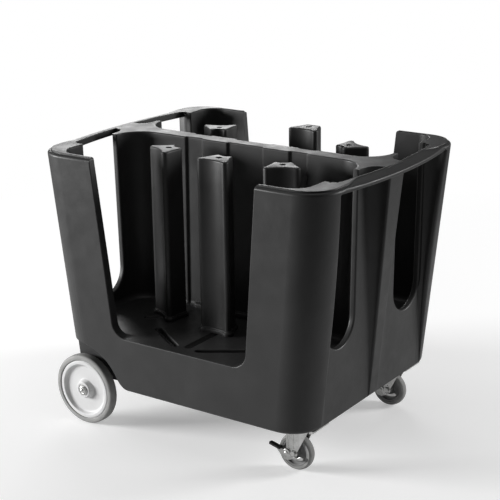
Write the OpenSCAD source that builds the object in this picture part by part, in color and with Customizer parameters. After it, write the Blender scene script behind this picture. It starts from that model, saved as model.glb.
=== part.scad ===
// Cart for stacks of plates: a moulded double bay body with movable dividers,
// two large wheels on one axle and two braked swivel casters.
// Origin on the floor below the middle, +X along the length towards the casters, +Z up.

/* [Body] */
// Overall length over the two bowed handles
overall_len = 950; // [930:5:980]
// Overall width at the rim
overall_w = 720; // [710:5:760]
// Overall height
overall_h = 780; // [740:5:820]
// Thickness of the walls at the rim
wall_t = 20; // [18:1:24]
// Radius of the upright outer corners
corner_r = 88; // [80:1:95]
// Height of the deck above the underside
deck_rise = 154; // [145:1:165]
// Thickness of the deck over the clamp pockets
deck_t = 16; // [12:1:20]
// Inward lean of each long side from rim to underside
side_draft = 17; // [10:1:20]
// Length of each end face behind the handle's middle at the rim
handle_reach = 22; // [18:1:26]
// Inward lean of each end face from rim to underside
end_draft = 64; // [58:1:68]

/* [Rim and handles] */
// Height of the step along the rim
rim_step_h = 4.5; // [3:0.5:6]
// Width of the raised step's shoulder
rim_step_in = 10; // [8:0.5:12]
// Rounding of the rim's outer shoulder
shoulder_r = 8; // [5:0.5:9]
// Width of each bowed handle in plan
handle_w = 38; // [34:1:40]
// Width of the flat along a handle's inner edge
handle_flat_w = 5; // [3:0.5:8]
// Fall of a handle's top from its flat to its outer face
handle_fall = 8; // [5:0.5:8]
// Thickness of each bowed handle
handle_t = 19; // [16:1:24]
// Radius of the handles' bow in plan
bow_r = 1422; // [1300:10:1500]

/* [Openings] */
// Half width of each side opening at the sill
side_cut_half = 218; // [200:1:225]
// Widening of each half of a side opening from sill to rim
side_cut_flare = 42; // [30:1:50]
// Radius of a side opening's lower corners
side_cut_r = 45; // [35:1:55]
// Rounding of the outer edges of the side openings and the wheel arches
opening_edge_r = 3; // [2:0.5:5]
// Width of each upright slot in the end walls
end_slot_w = 138; // [120:1:140]
// Distance from the middle plane to the centre of an end slot
end_slot_y = 172; // [168:1:174]
// Height of an end slot's round bottom centre above the deck
end_slot_rise = 108; // [95:1:130]
// Thickness of the recessed end wall
end_wall_t = 17; // [14:1:20]
// Depth of the end recess at the underside
recess_foot = 3; // [2:0.5:6]
// Depth of the end recess at the rim
recess_head = 55; // [50:1:58]

/* [Centre wall] */
// Thickness of the centre wall between its pilasters
centre_wall_t = 40; // [36:1:46]
// Projection of each pilaster
pilaster_t = 6; // [4:1:8]
// Width of each pilaster
pilaster_w = 80; // [60:1:90]
// Distance from the middle to a pilaster's centre line
pilaster_x = 100; // [90:1:105]
// Radius of the fillets from the centre wall to the end walls
web_r = 75; // [60:1:80]
// Height of the ledge at the wall's foot
ledge_h = 13; // [10:1:20]
// Projection of the ledge
ledge_t = 15; // [10:1:16]

/* [Dividers] */
// Width of a divider's broad hollow face
divider_w = 96; // [88:1:100]
// Width of a divider's narrow face
divider_back_w = 54; // [48:1:60]
// Depth of a divider
divider_d = 68; // [60:1:72]
// Height of the rim above a divider's top
divider_drop = 10; // [5:1:30]
// Radius of the plates that the hollow faces follow
plate_r = 88; // [75:1:110]
// Width of the slots in the deck
slot_w = 19.5; // [18:0.5:22]
// Diameter of the clamp bolts
clamp_d = 8; // [6:1:10]
// Diameter of the round keepers below the deck
keeper_d = 44; // [38:1:46]
// Thickness of the keepers
keeper_t = 6; // [4:1:10]

/* [Rear wheels] */
// Diameter of the rear wheels
rear_d = 200; // [190:5:205]
// Width of the rear tyres
rear_tyre_w = 28; // [24:1:32]
// Radial depth of the rear tyres
rear_tyre_t = 15; // [12:1:20]
// Distance from the rear end to the rear axle
axle_inset = 127.5; // [123:0.5:135]
// Diameter of the rear axle
axle_d = 20; // [16:1:22]
// Distance from a long side of the rim in to a rear wheel's middle plane
wheel_inset = 44; // [40:1:46]
// Gap between a rear tyre and its arch
arch_gap = 50; // [44:1:52]
// Height of the arch's flat top above the underside
arch_rise = 114; // [108:1:118]

/* [Casters] */
// Overall height of a caster, and so of the underside
caster_h = 136; // [134:1:142]
// Diameter of the caster wheels
caster_d = 100; // [95:1:102]
// Width of the caster tyres
caster_tyre_w = 24; // [20:1:26]
// Radial depth of the caster tyres
caster_tyre_t = 11; // [9:1:14]
// Distance from the front end to the swivel axes
swivel_inset = 146; // [144:1:149]
// Distance from a long side of the rim in to a swivel axis
swivel_side_inset = 114; // [112:1:120]
// Trail of the caster wheels
trail = 23; // [20:1:26]

/* [Clearances] */
// Gap between bodies that slide past each other
gap = 0.3; // [0.3:0.05:0.5]
// Radial play of a shaft in its bore
running_play = 0.05; // [0.02:0.01:0.09]

/* [Hidden] */

// Fineness and overrun
$fn = 64;
corner_steps = 6;
edge_steps = 3;
overrun = 12;
sides = ["near", "far"];
rows = ["near", "far"];
places = ["left", "middle", "right"];

// Colours
black_plastic = [0.16, 0.16, 0.16];
grey_plastic = [0.80, 0.80, 0.80];
grey_rubber = [0.55, 0.55, 0.54];
zinc = [0.78, 0.78, 0.76];

// Levels
underside_z = caster_h;
deck_z = underside_z + deck_rise;
body_h = overall_h - underside_z;
pocket_top = deck_z - deck_t;

// Plan sizes of the outer faces at the rim and at the underside
half_len = overall_len / 2;
rim_x = half_len - handle_reach;
foot_x = rim_x - end_draft;
rim_y = overall_w / 2;
foot_y = rim_y - side_draft;
foot_r = 12;
crown_r = 2;
bay_corner_r = 50;
bay_foot_r = 16;
bay_edge_r = 4;
bay_draft = 5;
wall_foot_spread = 8;

// Ends of the deck slots in the bay towards +Y, as shares of half the length and half the width
middle_slot_shares = [[0, 0.3], [0, 0.822]];
corner_slot_shares = [[0.36, 0.29], [0.488, 0.492]];
fan_slot_shares = [[0.084, 0.847], [0.316, 0.65]];

// Outline of the pocket below each bay, with room round the slots' ends for the keepers
pocket_end_room = 32.2;
pocket_side_room = 41;
pocket_bump_room = 17.08;
pocket_x = corner_slot_shares[1].x * half_len + pocket_end_room;
pocket_in = 34;
pocket_out = fan_slot_shares[1].y * rim_y + pocket_side_room;
pocket_bump_x = 112;
pocket_bump_out = fan_slot_shares[0].y * rim_y + pocket_bump_room;
pocket_r = 22;

// Rest places of the dividers along their slots, and the way each broad face looks, from the -Y direction
near_rest_shares = [0.213, 0.186, 0.213];
far_rest_shares = [0.738, 1, 0.738];
near_turn = [-29, 0, 29];
far_turn = [-151, 0, 151];

// Divider details
divider_front_share = 0.56;
sag_back_share = 0.7;
sag_quarter_share = 0.75;
divider_r = 10;
divider_top_r = 5;
divider_foot_h = 16;
divider_foot_grow = 6;
bolt_head_d = 14;
bolt_head_h = 8;
bolt_sink = 6;
head_room = 1;
socket_d = 7;
socket_depth = 4;
tongue_h = 12;
keeper_boss_d = 20;
keeper_boss_h = 8;

// Fin and corner posts of the end faces
fin_foot_half = 22;
fin_spread = 16;
fin_flare = 45;
fin_r = 6;
slot_edge_r = 5;
post_waist_w = 110;
post_head_in = 21;
post_foot_in = 14;
post_crown_w = 128;
post_r = 10;
waist_share = 0.46;
flank_share = 0.3;
recess_level_shares = [0, 0.12, 0.26, 0.42, 0.58, 0.72, 0.84, 0.93];

// Wheel arch
axle_x = half_len - axle_inset;
rear_wheel_y = rim_y - wheel_inset;
wheel_z = rear_d / 2;
arch_r = wheel_z + arch_gap;
arch_side_gap = 9;
arch_in = rear_wheel_y - rear_tyre_w / 2 - arch_side_gap;
arch_reverse_r = 55;
arch_end_r = 15;

// Rear wheel details
rim_r = rear_d / 2 - rear_tyre_t;
tyre_bevel = 3;
rim_seat = rear_tyre_w / 2 - tyre_bevel;
rim_hub_d = 44;
rim_hub_foot_d = 58;
rim_hub_out = 17;
rim_hub_in = 14;
rim_hub_edge = 4;
rim_web_t = 6;
rim_ring_w = 10;
rim_ring_edge = 2;
rear_tread_r = 8;
bush_t = 2.5;
washer_t = 2.5;
washer_d = 34;
cap_d = 30;
cap_h = 9;
cap_brim_w = 3;
cap_brim_t = 2;
saddle_y = rim_y - swivel_side_inset;
saddle_w = 40;
saddle_len = 96;
saddle_base_t = 6;
saddle_wall = 9;
saddle_screw_x = 36;

// Screws into the moulding
screw_d = 8;
screw_play = 0.4;
screw_head_af = 13;
screw_head_h = 5.5;
screw_depth = 30;

// Caster details
swivel_x = half_len - swivel_inset;
swivel_y = rim_y - swivel_side_inset;
plate_len = 105;
plate_w = 80;
plate_t = 3.5;
plate_corner_r = 8;
plate_hole_x = 40;
plate_hole_y = 30;
race_d = 54;
race_h = 6;
crown_t = 4;
ball_d = 6;
ball_circle_d = 42;
ball_count = 12;
kingpin_d = 12;
kingpin_head_d = 22;
kingpin_head_h = 4;
leg_t = 3;
leg_in = 15;
leg_back = 45;
leg_front = 23;
leg_boss_r = 12;
leg_rear_r = 9;
fork_out = leg_in + leg_t;
race_z = underside_z - plate_t - race_h;
crown_top = race_z - gap;
crown_low = crown_top - crown_t;
caster_axle_z = caster_d / 2;
core_r = caster_d / 2 - caster_tyre_t;
hub_w = 28;
caster_hub_d = 30;
caster_axle_d = 8;
core_edge = 2;
core_web_t = 6;
core_ring_w = 4;
caster_tread_r = 7;
axle_head_af = 13;
axle_head_h = 5.3;
axle_end = 3;
rib_r = 7;
pivot_d = 8;
pivot_head_d = 14;
pivot_head_h = 2;
pivot_back = 43;
pivot_drop = 4;
pivot_z = caster_axle_z - pivot_drop;

// Brake lever, its outline as shares of its length and height, and its pedal
lever_t = 2.5;
lever_y = -fork_out - gap - lever_t;
lever_back = 76;
lever_len = 84;
lever_h = 34;
lever_drop = 22;
lever_boss_r = 12;
lever_head_gap = 2;
lever_shares = [
    [0, 0.94], [0, 0.82], [0.155, 0.38], [0.274, 0], [0.44, 0], [0.63, 0.18], [0.905, 0.12], [1, 0.41],
    [0.93, 0.56], [0.81, 0.41], [0.68, 0.38], [0.5, 0.65], [0.31, 0.765]
];
pedal_front = 60;
pedal_rise = 7;
pedal_len = 35;
pedal_w = 13;
pedal_tilt = 13;
pad_t = 3;
pad_r = 4;

// Share of the drafted height at a level: nought at the underside, one at the rim's shoulder
function up(z) = (z - underside_z) / (body_h - rim_step_h - shoulder_r);

// Outer faces at a level
function side_at(z) = foot_y + side_draft * up(z);
function end_at(z) = foot_x + end_draft * up(z);

// Outer face of the recessed end wall at a level
function wall_at(z) = end_at(z) - recess_foot - (recess_head - recess_foot) * up(z);

// Rounded rectangle with half sizes hx and hy and corner radius r, anticlockwise
function rounded_rect(hx, hy, r) = [
    for (quarter = [0:3], step = [0:corner_steps])
        let (
            a = 90 * (quarter + step / corner_steps),
            cx = (quarter == 0 || quarter == 3) ? hx - r : r - hx,
            cy = quarter < 2 ? hy - r : r - hy
        )
        [cx + r * cos(a), cy + r * sin(a)]
];

// Points of an arc about c from angle a to angle b
function arc(c, r, a, b, steps) = [
    for (i = [0:steps]) let (t = a + (b - a) * i / steps) c + r * [cos(t), sin(t)]
];

// Points of a quadratic curve from p to r, drawn towards q
function bend(p, q, r, steps) = [
    for (i = [0:steps]) let (t = i / steps) p * (1 - t) ^ 2 + q * 2 * t * (1 - t) + r * t ^ 2
];

function reversed(list) = [for (i = [len(list) - 1:-1:0]) list[i]];
function tail(list) = [for (i = [1:len(list) - 1]) list[i]];
function mirrored_x(points) = [for (p = reversed(points)) [-p.x, p.y]];
function both_faces(points) = concat([for (p = reversed(points)) [p.x, -p.y]], points);
function unit(v) = v / norm(v);

// An anticlockwise outline grown outwards by d
function grown(outline, d) = [
    for (i = [0:len(outline) - 1])
        let (
            n = len(outline),
            before = unit(outline[i] - outline[(i + n - 1) % n]),
            after = unit(outline[(i + 1) % n] - outline[i]),
            along = unit(before + after)
        )
        outline[i] + d * [along.y, -along.x]
];

// Inset and drop of each ring of a convex edge of radius r: from the full size to the edge
function edge_round(r) = [
    for (i = [0:edge_steps]) let (a = 90 * i / edge_steps) [r * (1 - cos(a)), r * (1 - sin(a))]
];

// A closed solid through rings with equal numbers of points, each anticlockwise seen from the last one
module loft(rings) {
    n = len(rings[0]);
    last = len(rings) - 1;
    skin = [
        for (k = [0:last - 1], i = [0:n - 1])
            let (j = (i + 1) % n, low = k * n, high = low + n)
            each [[low + i, high + i, high + j], [low + i, high + j, low + j]]
    ];
    polyhedron(
        points = [for (ring = rings) each ring],
        faces = concat([[for (i = [0:n - 1]) i]], [[for (i = [n - 1:-1:0]) last * n + i]], skin)
    );
}

module both_sides() {
    children();
    mirror([0, 1, 0]) children();
}

module both_ends() {
    children();
    mirror([1, 0, 0]) children();
}

// The drafted outer block with its rounded foot, its shoulder and its raised inner step
module outer_block() {
    shoulder_z = overall_h - rim_step_h;
    foot = [for (e = reversed(edge_round(foot_r))) [e[0], underside_z + e[1]]];
    shoulder = [for (e = edge_round(shoulder_r)) [e[0], shoulder_z - e[1]]];
    step = [
        [rim_step_in, shoulder_z],
        [rim_step_in, overall_h - crown_r],
        [rim_step_in + crown_r, overall_h]
    ];
    loft([
        for (level = concat(foot, shoulder, step))
            let (inset = level[0], z = level[1])
            [for (p = rounded_rect(end_at(z) - inset, side_at(z) - inset, corner_r - inset)) [p.x, p.y, z]]
    ]);
}

// Plan of the bay towards +Y at the level z, with the pilasters of the centre wall, anticlockwise
function bay_outline(z) =
    let (
        lean = bay_draft * (overall_h - z) / (overall_h - deck_z),
        spread = wall_foot_spread * (overall_h - z) / (overall_h - deck_z),
        panel = centre_wall_t / 2 + spread,
        face = panel + pilaster_t,
        step = pilaster_t,
        from = pilaster_x - pilaster_w / 2,
        to = pilaster_x + pilaster_w / 2,
        end_panel = 2 * pilaster_x,
        x = wall_at(z) - end_wall_t,
        y = side_at(z) - wall_t - lean,
        r = bay_corner_r,
        half = concat(
            [[from - step, panel], [from, face], [to, face], [to + step, panel]],
            [[end_panel - step, panel], [end_panel, face]],
            arc([x - web_r, face + web_r], web_r, -90, 0, corner_steps),
            arc([x - r, y - r], r, 0, 90, corner_steps)
        )
    )
    concat(half, mirrored_x(half));

// The open space above the deck on the +Y side
module bay() {
    foot = [for (e = reversed(edge_round(bay_foot_r))) [-e[0], deck_z + e[1]]];
    edge = [for (e = edge_round(bay_edge_r)) [e[0], overall_h - e[1]]];
    top = [[bay_edge_r, overall_h + overrun]];
    loft([
        for (level = concat(foot, edge, top))
            let (z = level[1])
            [for (p = grown(bay_outline(min(z, overall_h)), level[0])) [p.x, p.y, z]]
    ]);
}

// Half outline of a side opening in x and z, from the sill up
function side_opening() =
    let (
        slope = side_cut_flare / (overall_h - deck_z),
        tilt = atan(slope),
        r = side_cut_r,
        foot = side_cut_half - r,
        lip = shoulder_r,
        head = side_cut_half + side_cut_flare,
        half = concat(
            arc([foot, deck_z + r], r, -90, -tilt, corner_steps),
            [[head - lip * slope, overall_h - lip], [head + lip / 4, overall_h - lip / 4]],
            [[head + lip, overall_h], [head + lip, overall_h + overrun]]
        )
    )
    concat(half, mirrored_x(half));

// A ring through an upright outline at a depth behind the long side towards +Y
function side_ring(outline, depth) = [for (p = reversed(outline)) [p.x, side_at(p.y) - depth, p.y]];

// The side opening, with its outer edge rounded
module side_cut() {
    outline = side_opening();
    outer = [for (e = edge_round(opening_edge_r)) side_ring(grown(outline, e[0]), e[1])];
    inner = side_ring(outline, wall_t + bay_draft + bay_foot_r + overrun);
    outside = side_ring(grown(outline, opening_edge_r), -overrun);
    loft(concat([inner], outer, [outside]));
}

// Half width of the fin at a level
function fin_half(z) = fin_foot_half + fin_spread * up(z) ^ 1.6;

// Inner edge of a corner post at a level: narrower above and below its waist
function post_edge(z) =
    let (s = up(z), waist = rim_y - post_waist_w)
    s > waist_share
        ? waist + post_head_in * ((s - waist_share) / (1 - waist_share)) ^ 2
        : waist + post_foot_in * ((waist_share - s) / waist_share) ^ 2;

// Plan of the recess between the fin and the post towards +X and +Y at a level
function recess_outline(z, post) =
    let (
        wall = wall_at(z),
        face = end_at(z),
        depth = face - wall,
        fin = fin_half(z),
        out = half_len + overrun,
        fr = min(fin_r, depth / 2),
        pr = min(post_r, depth / 2),
        slot_out = end_slot_y + end_slot_w / 2
    )
    reversed(concat(
        [[out, fin - fr]],
        [for (e = reversed(edge_round(fr))) [face - e[1], fin - e[0]]],
        tail(bend([face - fr, fin], [wall, fin], [wall, fin + fin_flare], corner_steps)),
        bend([wall, slot_out], [wall + depth * flank_share, post + crown_r], [face - pr, post], corner_steps),
        [for (e = tail(edge_round(pr))) [face - e[1], post + e[0]]],
        [[out, post + pr]]
    ));

// The recess in the end towards +X, on the +Y side
module end_recess() {
    web_z = overall_h - handle_t;
    levels = [for (s = recess_level_shares) [underside_z + s * body_h, post_edge(underside_z + s * body_h)]];
    low = [[underside_z - overrun, post_edge(underside_z)]];
    high = [[web_z, post_edge(web_z)], [overall_h, rim_y - post_crown_w]];
    loft([
        for (level = concat(low, levels, high, [[overall_h + overrun, high[1][1]]]))
            let (z = min(max(level[0], underside_z), overall_h))
            [for (p = recess_outline(z, level[1])) [p.x, p.y, level[0]]]
    ]);
}

// Outline of an end slot in y and z, anticlockwise seen from +X
function slot_outline() =
    let (r = end_slot_w / 2, z = deck_z + end_slot_rise)
    concat(
        arc([end_slot_y, z], r, -180, 0, 2 * corner_steps),
        [[end_slot_y + r, overall_h + 2 * overrun], [end_slot_y - r, overall_h + 2 * overrun]]
    );

function slot_ring(outline, depth) = [for (p = outline) [wall_at(p.y) - depth, p.x, p.y]];

// The upright slot through the end wall towards +X, with both its edges rounded
module end_slot() {
    outline = slot_outline();
    front = edge_round(slot_edge_r);
    loft(concat(
        [slot_ring(grown(outline, slot_edge_r), end_wall_t + overrun)],
        [for (e = reversed(front)) slot_ring(grown(outline, e[0]), end_wall_t - e[1])],
        [for (e = front) slot_ring(grown(outline, e[0]), e[1])],
        [slot_ring(grown(outline, slot_edge_r), -overrun / 2)]
    ));
}

// Outline of the wheel arch in x and z: flat top, arc round the wheel and reversed foot
function arch_outline() =
    let (
        top = underside_z + arch_rise,
        end = end_at(top),
        far = half_len + overrun,
        foot_cz = underside_z + arch_reverse_r,
        reach = arch_r + arch_reverse_r,
        foot_cx = sqrt(reach ^ 2 - (foot_cz - wheel_z) ^ 2) - axle_x,
        turn = atan2(foot_cz - wheel_z, foot_cx + axle_x),
        r = arch_end_r
    )
    concat(
        [[-far, underside_z - 2 * overrun], [foot_cx, underside_z - 2 * overrun]],
        reversed(arc([foot_cx, foot_cz], arch_reverse_r, 180 + turn, 270, edge_steps + 2)),
        tail(arc([-axle_x, wheel_z], arch_r, turn, 90, corner_steps + 2)),
        reversed(arc([r - end, top + r], r, 180, 270, edge_steps)),
        [[-far, top + r]]
    );

module wheel_arch() {
    outline = arch_outline();
    outer = [for (e = edge_round(opening_edge_r)) side_ring(grown(outline, e[0]), e[1])];
    inner = [for (p = reversed(outline)) [p.x, arch_in, p.y]];
    loft(concat([inner], outer, [side_ring(grown(outline, opening_edge_r), -overrun)]));
}

// A slot through the deck between two centre points, with its upper edge eased
module deck_slot(ends) {
    hull()
        for (p = ends)
            translate([p.x, p.y, pocket_top - overrun])
                cylinder(d = slot_w, h = deck_t + 2 * overrun, $fn = 24);
    hull()
        for (p = ends)
            translate([p.x, p.y, deck_z - crown_r])
                cylinder(d1 = slot_w, d2 = slot_w + 2 * crown_r, h = crown_r, $fn = 24);
}

function slot_ends(shares) = [for (s = shares) [s.x * half_len, s.y * rim_y]];

module slots_of_bay() {
    deck_slot(slot_ends(middle_slot_shares));
    both_ends() {
        deck_slot(slot_ends(corner_slot_shares));
        deck_slot(slot_ends(fan_slot_shares));
    }
}

// The pocket under a bay, open below, in which the keepers travel
module clamp_pocket() {
    h = pocket_top - underside_z + overrun;
    translate([0, 0, underside_z - overrun]) {
        linear_extrude(h)
            translate([0, (pocket_in + pocket_out) / 2])
                polygon(rounded_rect(pocket_x, (pocket_out - pocket_in) / 2, pocket_r));
        linear_extrude(h)
            translate([0, (pocket_in + pocket_bump_out) / 2])
                polygon(rounded_rect(pocket_bump_x, (pocket_bump_out - pocket_in) / 2, pocket_r));
    }
}

// The ledge along the foot of the centre wall
module wall_ledge() {
    half = 2 * pilaster_x - pilaster_t - ledge_t;
    y = centre_wall_t / 2 + wall_foot_spread + ledge_t;
    loft([
        for (e = [[0, -deck_t / 2], [0, ledge_h - crown_r], [crown_r, ledge_h]])
            [for (p = rounded_rect(half - e[0], y - e[0], ledge_t)) [p.x, p.y, deck_z + e[1]]]
    ]);
}

// The bowed handle of the end towards +X: a flat inner edge, and a top that falls to the outer face
module handle() {
    soft = handle_t / 5;
    inner = bow_r - handle_w;
    crest = inner + handle_flat_w;
    section = concat(
        arc([inner + soft, soft - handle_t], soft, 180, 270, edge_steps),
        arc([bow_r - soft, soft - handle_t], soft, 270, 360, edge_steps),
        bend([bow_r, -handle_fall - soft], [bow_r, -handle_fall], [bow_r - soft, soft / 5 - handle_fall],
            edge_steps),
        bend([crest + crown_r, -crown_r / 5], [crest, 0], [crest - crown_r, 0], edge_steps - 1),
        [[inner + crown_r, 0], [inner, -crown_r]]
    );
    half_angle = asin((rim_y - corner_r + slot_w + overrun) / bow_r);
    translate([half_len - bow_r, 0, overall_h])
        rotate([0, 0, -half_angle])
            rotate_extrude(angle = 2 * half_angle, $fn = 288)
                polygon(section);
}

function plate_holes() = [for (sx = [-1, 1], sy = [-1, 1]) [sx * plate_hole_x, sy * plate_hole_y]];
function saddle_holes() = [for (sx = [-1, 1], sy = [-1, 1]) [sx * saddle_screw_x - axle_x, sy * saddle_y]];

module screw_hole() {
    translate([0, 0, underside_z - overrun])
        cylinder(d = screw_d + 2 * screw_play, h = screw_depth + overrun, $fn = 16);
}

module body_moulding() {
    color(black_plastic)
        union() {
            difference() {
                outer_block();
                both_sides() {
                    bay();
                    side_cut();
                    slots_of_bay();
                    clamp_pocket();
                    wheel_arch();
                    both_ends() {
                        end_recess();
                        end_slot();
                    }
                    translate([swivel_x, swivel_y, 0])
                        for (p = plate_holes())
                            translate(p) screw_hole();
                }
                for (p = saddle_holes())
                    translate(p) screw_hole();
            }
            wall_ledge();
            both_ends() handle();
        }
}

// Half outline of a divider's section seen from above, broad face towards -Y, bolt at the origin
function divider_outline() =
    let (
        r = divider_r,
        front = [divider_w / 2 - r, r - divider_d * divider_front_share],
        back = [divider_back_w / 2 - r, divider_d * (1 - divider_front_share) - r],
        front_sag = plate_r - sqrt(plate_r ^ 2 - front.x ^ 2),
        back_sag = front_sag * sag_back_share,
        side = unit(back - front),
        out = [side.y, -side.x],
        middle = (front + back) / 2 + out * (r - front_sag / 3),
        half = concat(
            [[0, front.y - r + front_sag], [front.x / 2, front.y - r + front_sag * sag_quarter_share]],
            arc(front, r, -90, atan2(out.y, out.x), 3),
            [middle],
            arc(back, r, atan2(out.y, out.x), 90, 3),
            [[back.x / 2, back.y + r - back_sag * sag_quarter_share]]
        ),
        other = [for (p = reversed(half)) if (p.x > 0) [-p.x, p.y]]
    )
    concat(half, [[0, back.y + r - back_sag]], other);

// A tall hollow-faced divider with a flanged foot, a guide tongue and a bolt bore
module divider_form() {
    outline = divider_outline();
    low = deck_z + gap;
    top = overall_h - divider_drop;
    bore_z = pocket_top;
    foot_top = low + divider_foot_h;
    rings = concat(
        [[divider_foot_grow, low], [divider_foot_grow, foot_top - crown_r]],
        [[divider_foot_grow - crown_r, foot_top]],
        [[crown_r, foot_top], [0, foot_top + crown_r]],
        [for (e = edge_round(divider_top_r)) [-e[0], top - e[1]]]
    );
    color(black_plastic)
        difference() {
            union() {
                loft([for (e = rings) [for (p = grown(outline, e[0])) [p.x, p.y, e[1]]]]);
                translate([0, 0, low - tongue_h])
                    cylinder(d = slot_w - 2 * gap, h = tongue_h + divider_foot_h / 2);
            }
            translate([0, 0, bore_z])
                cylinder(d = clamp_d + 2 * gap, h = overall_h - bore_z);
            translate([0, 0, top - bolt_sink - bolt_head_h])
                cylinder(d = bolt_head_d + 2 * head_room, h = bolt_sink + bolt_head_h + overrun);
        }
}

// The long bolt from the top of a divider to its keeper
module clamp_bolt_form() {
    seat_z = overall_h - divider_drop - bolt_sink - bolt_head_h;
    end_z = pocket_top - gap - keeper_t - keeper_boss_h;
    color(zinc)
        difference() {
            union() {
                translate([0, 0, end_z]) cylinder(d = clamp_d, h = seat_z - end_z);
                translate([0, 0, seat_z]) cylinder(d = bolt_head_d, h = bolt_head_h);
            }
            translate([0, 0, seat_z + bolt_head_h - socket_depth])
                cylinder(d = socket_d, h = socket_depth + overrun, $fn = 6);
        }
}

// The round keeper plate below the deck with its threaded boss
module keeper_form() {
    top = pocket_top - gap;
    color(zinc)
        difference() {
            union() {
                translate([0, 0, top - keeper_t]) cylinder(d = keeper_d, h = keeper_t);
                translate([0, 0, top - keeper_t - keeper_boss_h])
                    cylinder(d = keeper_boss_d, h = keeper_boss_h + keeper_t / 2);
            }
            translate([0, 0, top - keeper_t - keeper_boss_h - overrun])
                cylinder(d = clamp_d, h = keeper_t + keeper_boss_h + 2 * overrun);
        }
}

// Rest place of a divider's axis: a share of the way along its slot
function rest_of(row, i) =
    let (
        near = row == "near",
        ends = slot_ends(i == 1 ? middle_slot_shares : corner_slot_shares),
        p = ends[0] + (ends[1] - ends[0]) * (near ? near_rest_shares : far_rest_shares)[i]
    )
    [(i - 1) * p.x, near ? -p.y : p.y];
function turn_of(row, i) = (row == "near" ? near_turn : far_turn)[i];

module at_divider(row, i) {
    p = rest_of(row, i);
    translate([p.x, p.y, 0])
        rotate([0, 0, turn_of(row, i)])
            children();
}

// A shape given along +Z is laid along the rear axle, outwards on the named side
module on_axle(side) {
    translate([-axle_x, 0, wheel_z])
        rotate([side == "near" ? 90 : -90, 0, 0])
            children();
}

module rear_axle() {
    half = rear_wheel_y + rim_hub_out + gap + cap_h / 2;
    color(zinc)
        translate([-axle_x, -half, wheel_z])
            rotate([-90, 0, 0])
                cylinder(d = axle_d, h = 2 * half);
}

module axle_saddle(side) {
    drop = underside_z - wheel_z;
    outer_r = axle_d / 2 + saddle_wall;
    y = side == "near" ? -saddle_y : saddle_y;
    color(zinc)
        translate([-axle_x, y + saddle_w / 2, wheel_z])
            rotate([90, 0, 0])
                difference() {
                    linear_extrude(saddle_w)
                        difference() {
                            union() {
                                circle(r = outer_r);
                                translate([-outer_r, 0]) square([2 * outer_r, drop]);
                                translate([-saddle_len / 2, drop - saddle_base_t])
                                    square([saddle_len, saddle_base_t]);
                            }
                            circle(d = axle_d);
                        }
                    for (sx = [-1, 1])
                        translate([sx * saddle_screw_x, drop + overrun, saddle_w / 2])
                            rotate([90, 0, 0])
                                cylinder(d = screw_d + 2 * screw_play, h = saddle_base_t + 2 * overrun);
                }
}

// A hexagon-headed screw with its head below the level z and its shank up to the given length
module hex_screw(z, length) {
    translate([0, 0, z - screw_head_h]) cylinder(d = screw_head_af / cos(30), h = screw_head_h, $fn = 6);
    translate([0, 0, z - screw_head_h / 2]) cylinder(d = screw_d, h = length + screw_head_h / 2);
}

module saddle_screws() {
    color(zinc)
        for (p = saddle_holes())
            translate(p) hex_screw(underside_z - saddle_base_t, screw_depth - gap);
}

module axle_washers() {
    inner = rear_wheel_y - rim_hub_in - gap - washer_t;
    color(zinc)
        for (side = sides)
            on_axle(side)
                translate([0, 0, inner])
                    difference() {
                        cylinder(d = washer_d, h = washer_t);
                        translate([0, 0, -overrun]) cylinder(d = axle_d, h = washer_t + 2 * overrun);
                    }
}

// One side of the rear rim's section in radius and distance from the wheel's middle plane, with the hub's
// end face at the given distance
function rim_side(face) =
    let (
        hub_r = rim_hub_d / 2,
        hub_foot_r = rim_hub_foot_d / 2,
        ring = rim_r - rim_ring_w,
        web = rim_web_t / 2
    )
    [
        [rim_r, rim_seat], [rim_r - rim_ring_edge, rim_seat + rim_ring_edge],
        [ring + rim_ring_edge, rim_seat + rim_ring_edge], [ring, rim_seat], [ring - rim_ring_w / 2, web],
        [hub_foot_r, web], [hub_r, face - rim_hub_edge], [hub_r - rim_hub_edge, face],
        [axle_d / 2 + bush_t, face]
    ];

function rim_section() = concat(
    [for (p = reversed(rim_side(rim_hub_in))) [p.x, -p.y]],
    rim_side(rim_hub_out)
);

module rear_rim(side) {
    color(grey_plastic)
        on_axle(side)
            translate([0, 0, rear_wheel_y])
                rotate_extrude()
                    polygon(rim_section());
}

// Section of a tyre from its seat radius to its outer radius, with rounded tread edges
function tyre_section(seat_r, r, w, bevel, tread) =
    let (half = w / 2)
    both_faces(concat(
        bend([r, half - tread], [r, half - tread / 4], [r - tread / 2, half - tread / 8], 3),
        [[r - tread * 0.75, half], [seat_r + bevel / 2, half], [seat_r, half - bevel]]
    ));

module rear_tyre(side) {
    color(grey_rubber)
        on_axle(side)
            translate([0, 0, rear_wheel_y])
                rotate_extrude()
                    polygon(tyre_section(rim_r, rear_d / 2, rear_tyre_w, tyre_bevel, rear_tread_r));
}

module rear_bush(side) {
    color(grey_rubber)
        on_axle(side)
            translate([0, 0, rear_wheel_y - rim_hub_in])
                difference() {
                    cylinder(d = axle_d + 2 * bush_t, h = rim_hub_in + rim_hub_out);
                    translate([0, 0, -overrun])
                        cylinder(r = axle_d / 2 + running_play, h = rim_hub_in + rim_hub_out + 2 * overrun);
                }
}

// The pressed cap over each axle end
module axle_cap(side) {
    r = cap_d / 2;
    foot = rear_wheel_y + rim_hub_out + gap;
    color(zinc)
        on_axle(side)
            translate([0, 0, foot])
                difference() {
                    rotate_extrude()
                        polygon(concat(
                            [[0, 0], [r, 0], [r, cap_brim_t]],
                            bend([r - cap_brim_w, cap_brim_w], [r - cap_brim_w, cap_h], [0, cap_h], 5)
                        ));
                    translate([0, 0, -overrun]) cylinder(d = axle_d, h = overrun + cap_h / 2);
                }
}

// A shape given about the swivel axis is set at the named caster
module at_caster(side) {
    translate([swivel_x, side == "near" ? -swivel_y : swivel_y, 0]) children();
}

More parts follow.
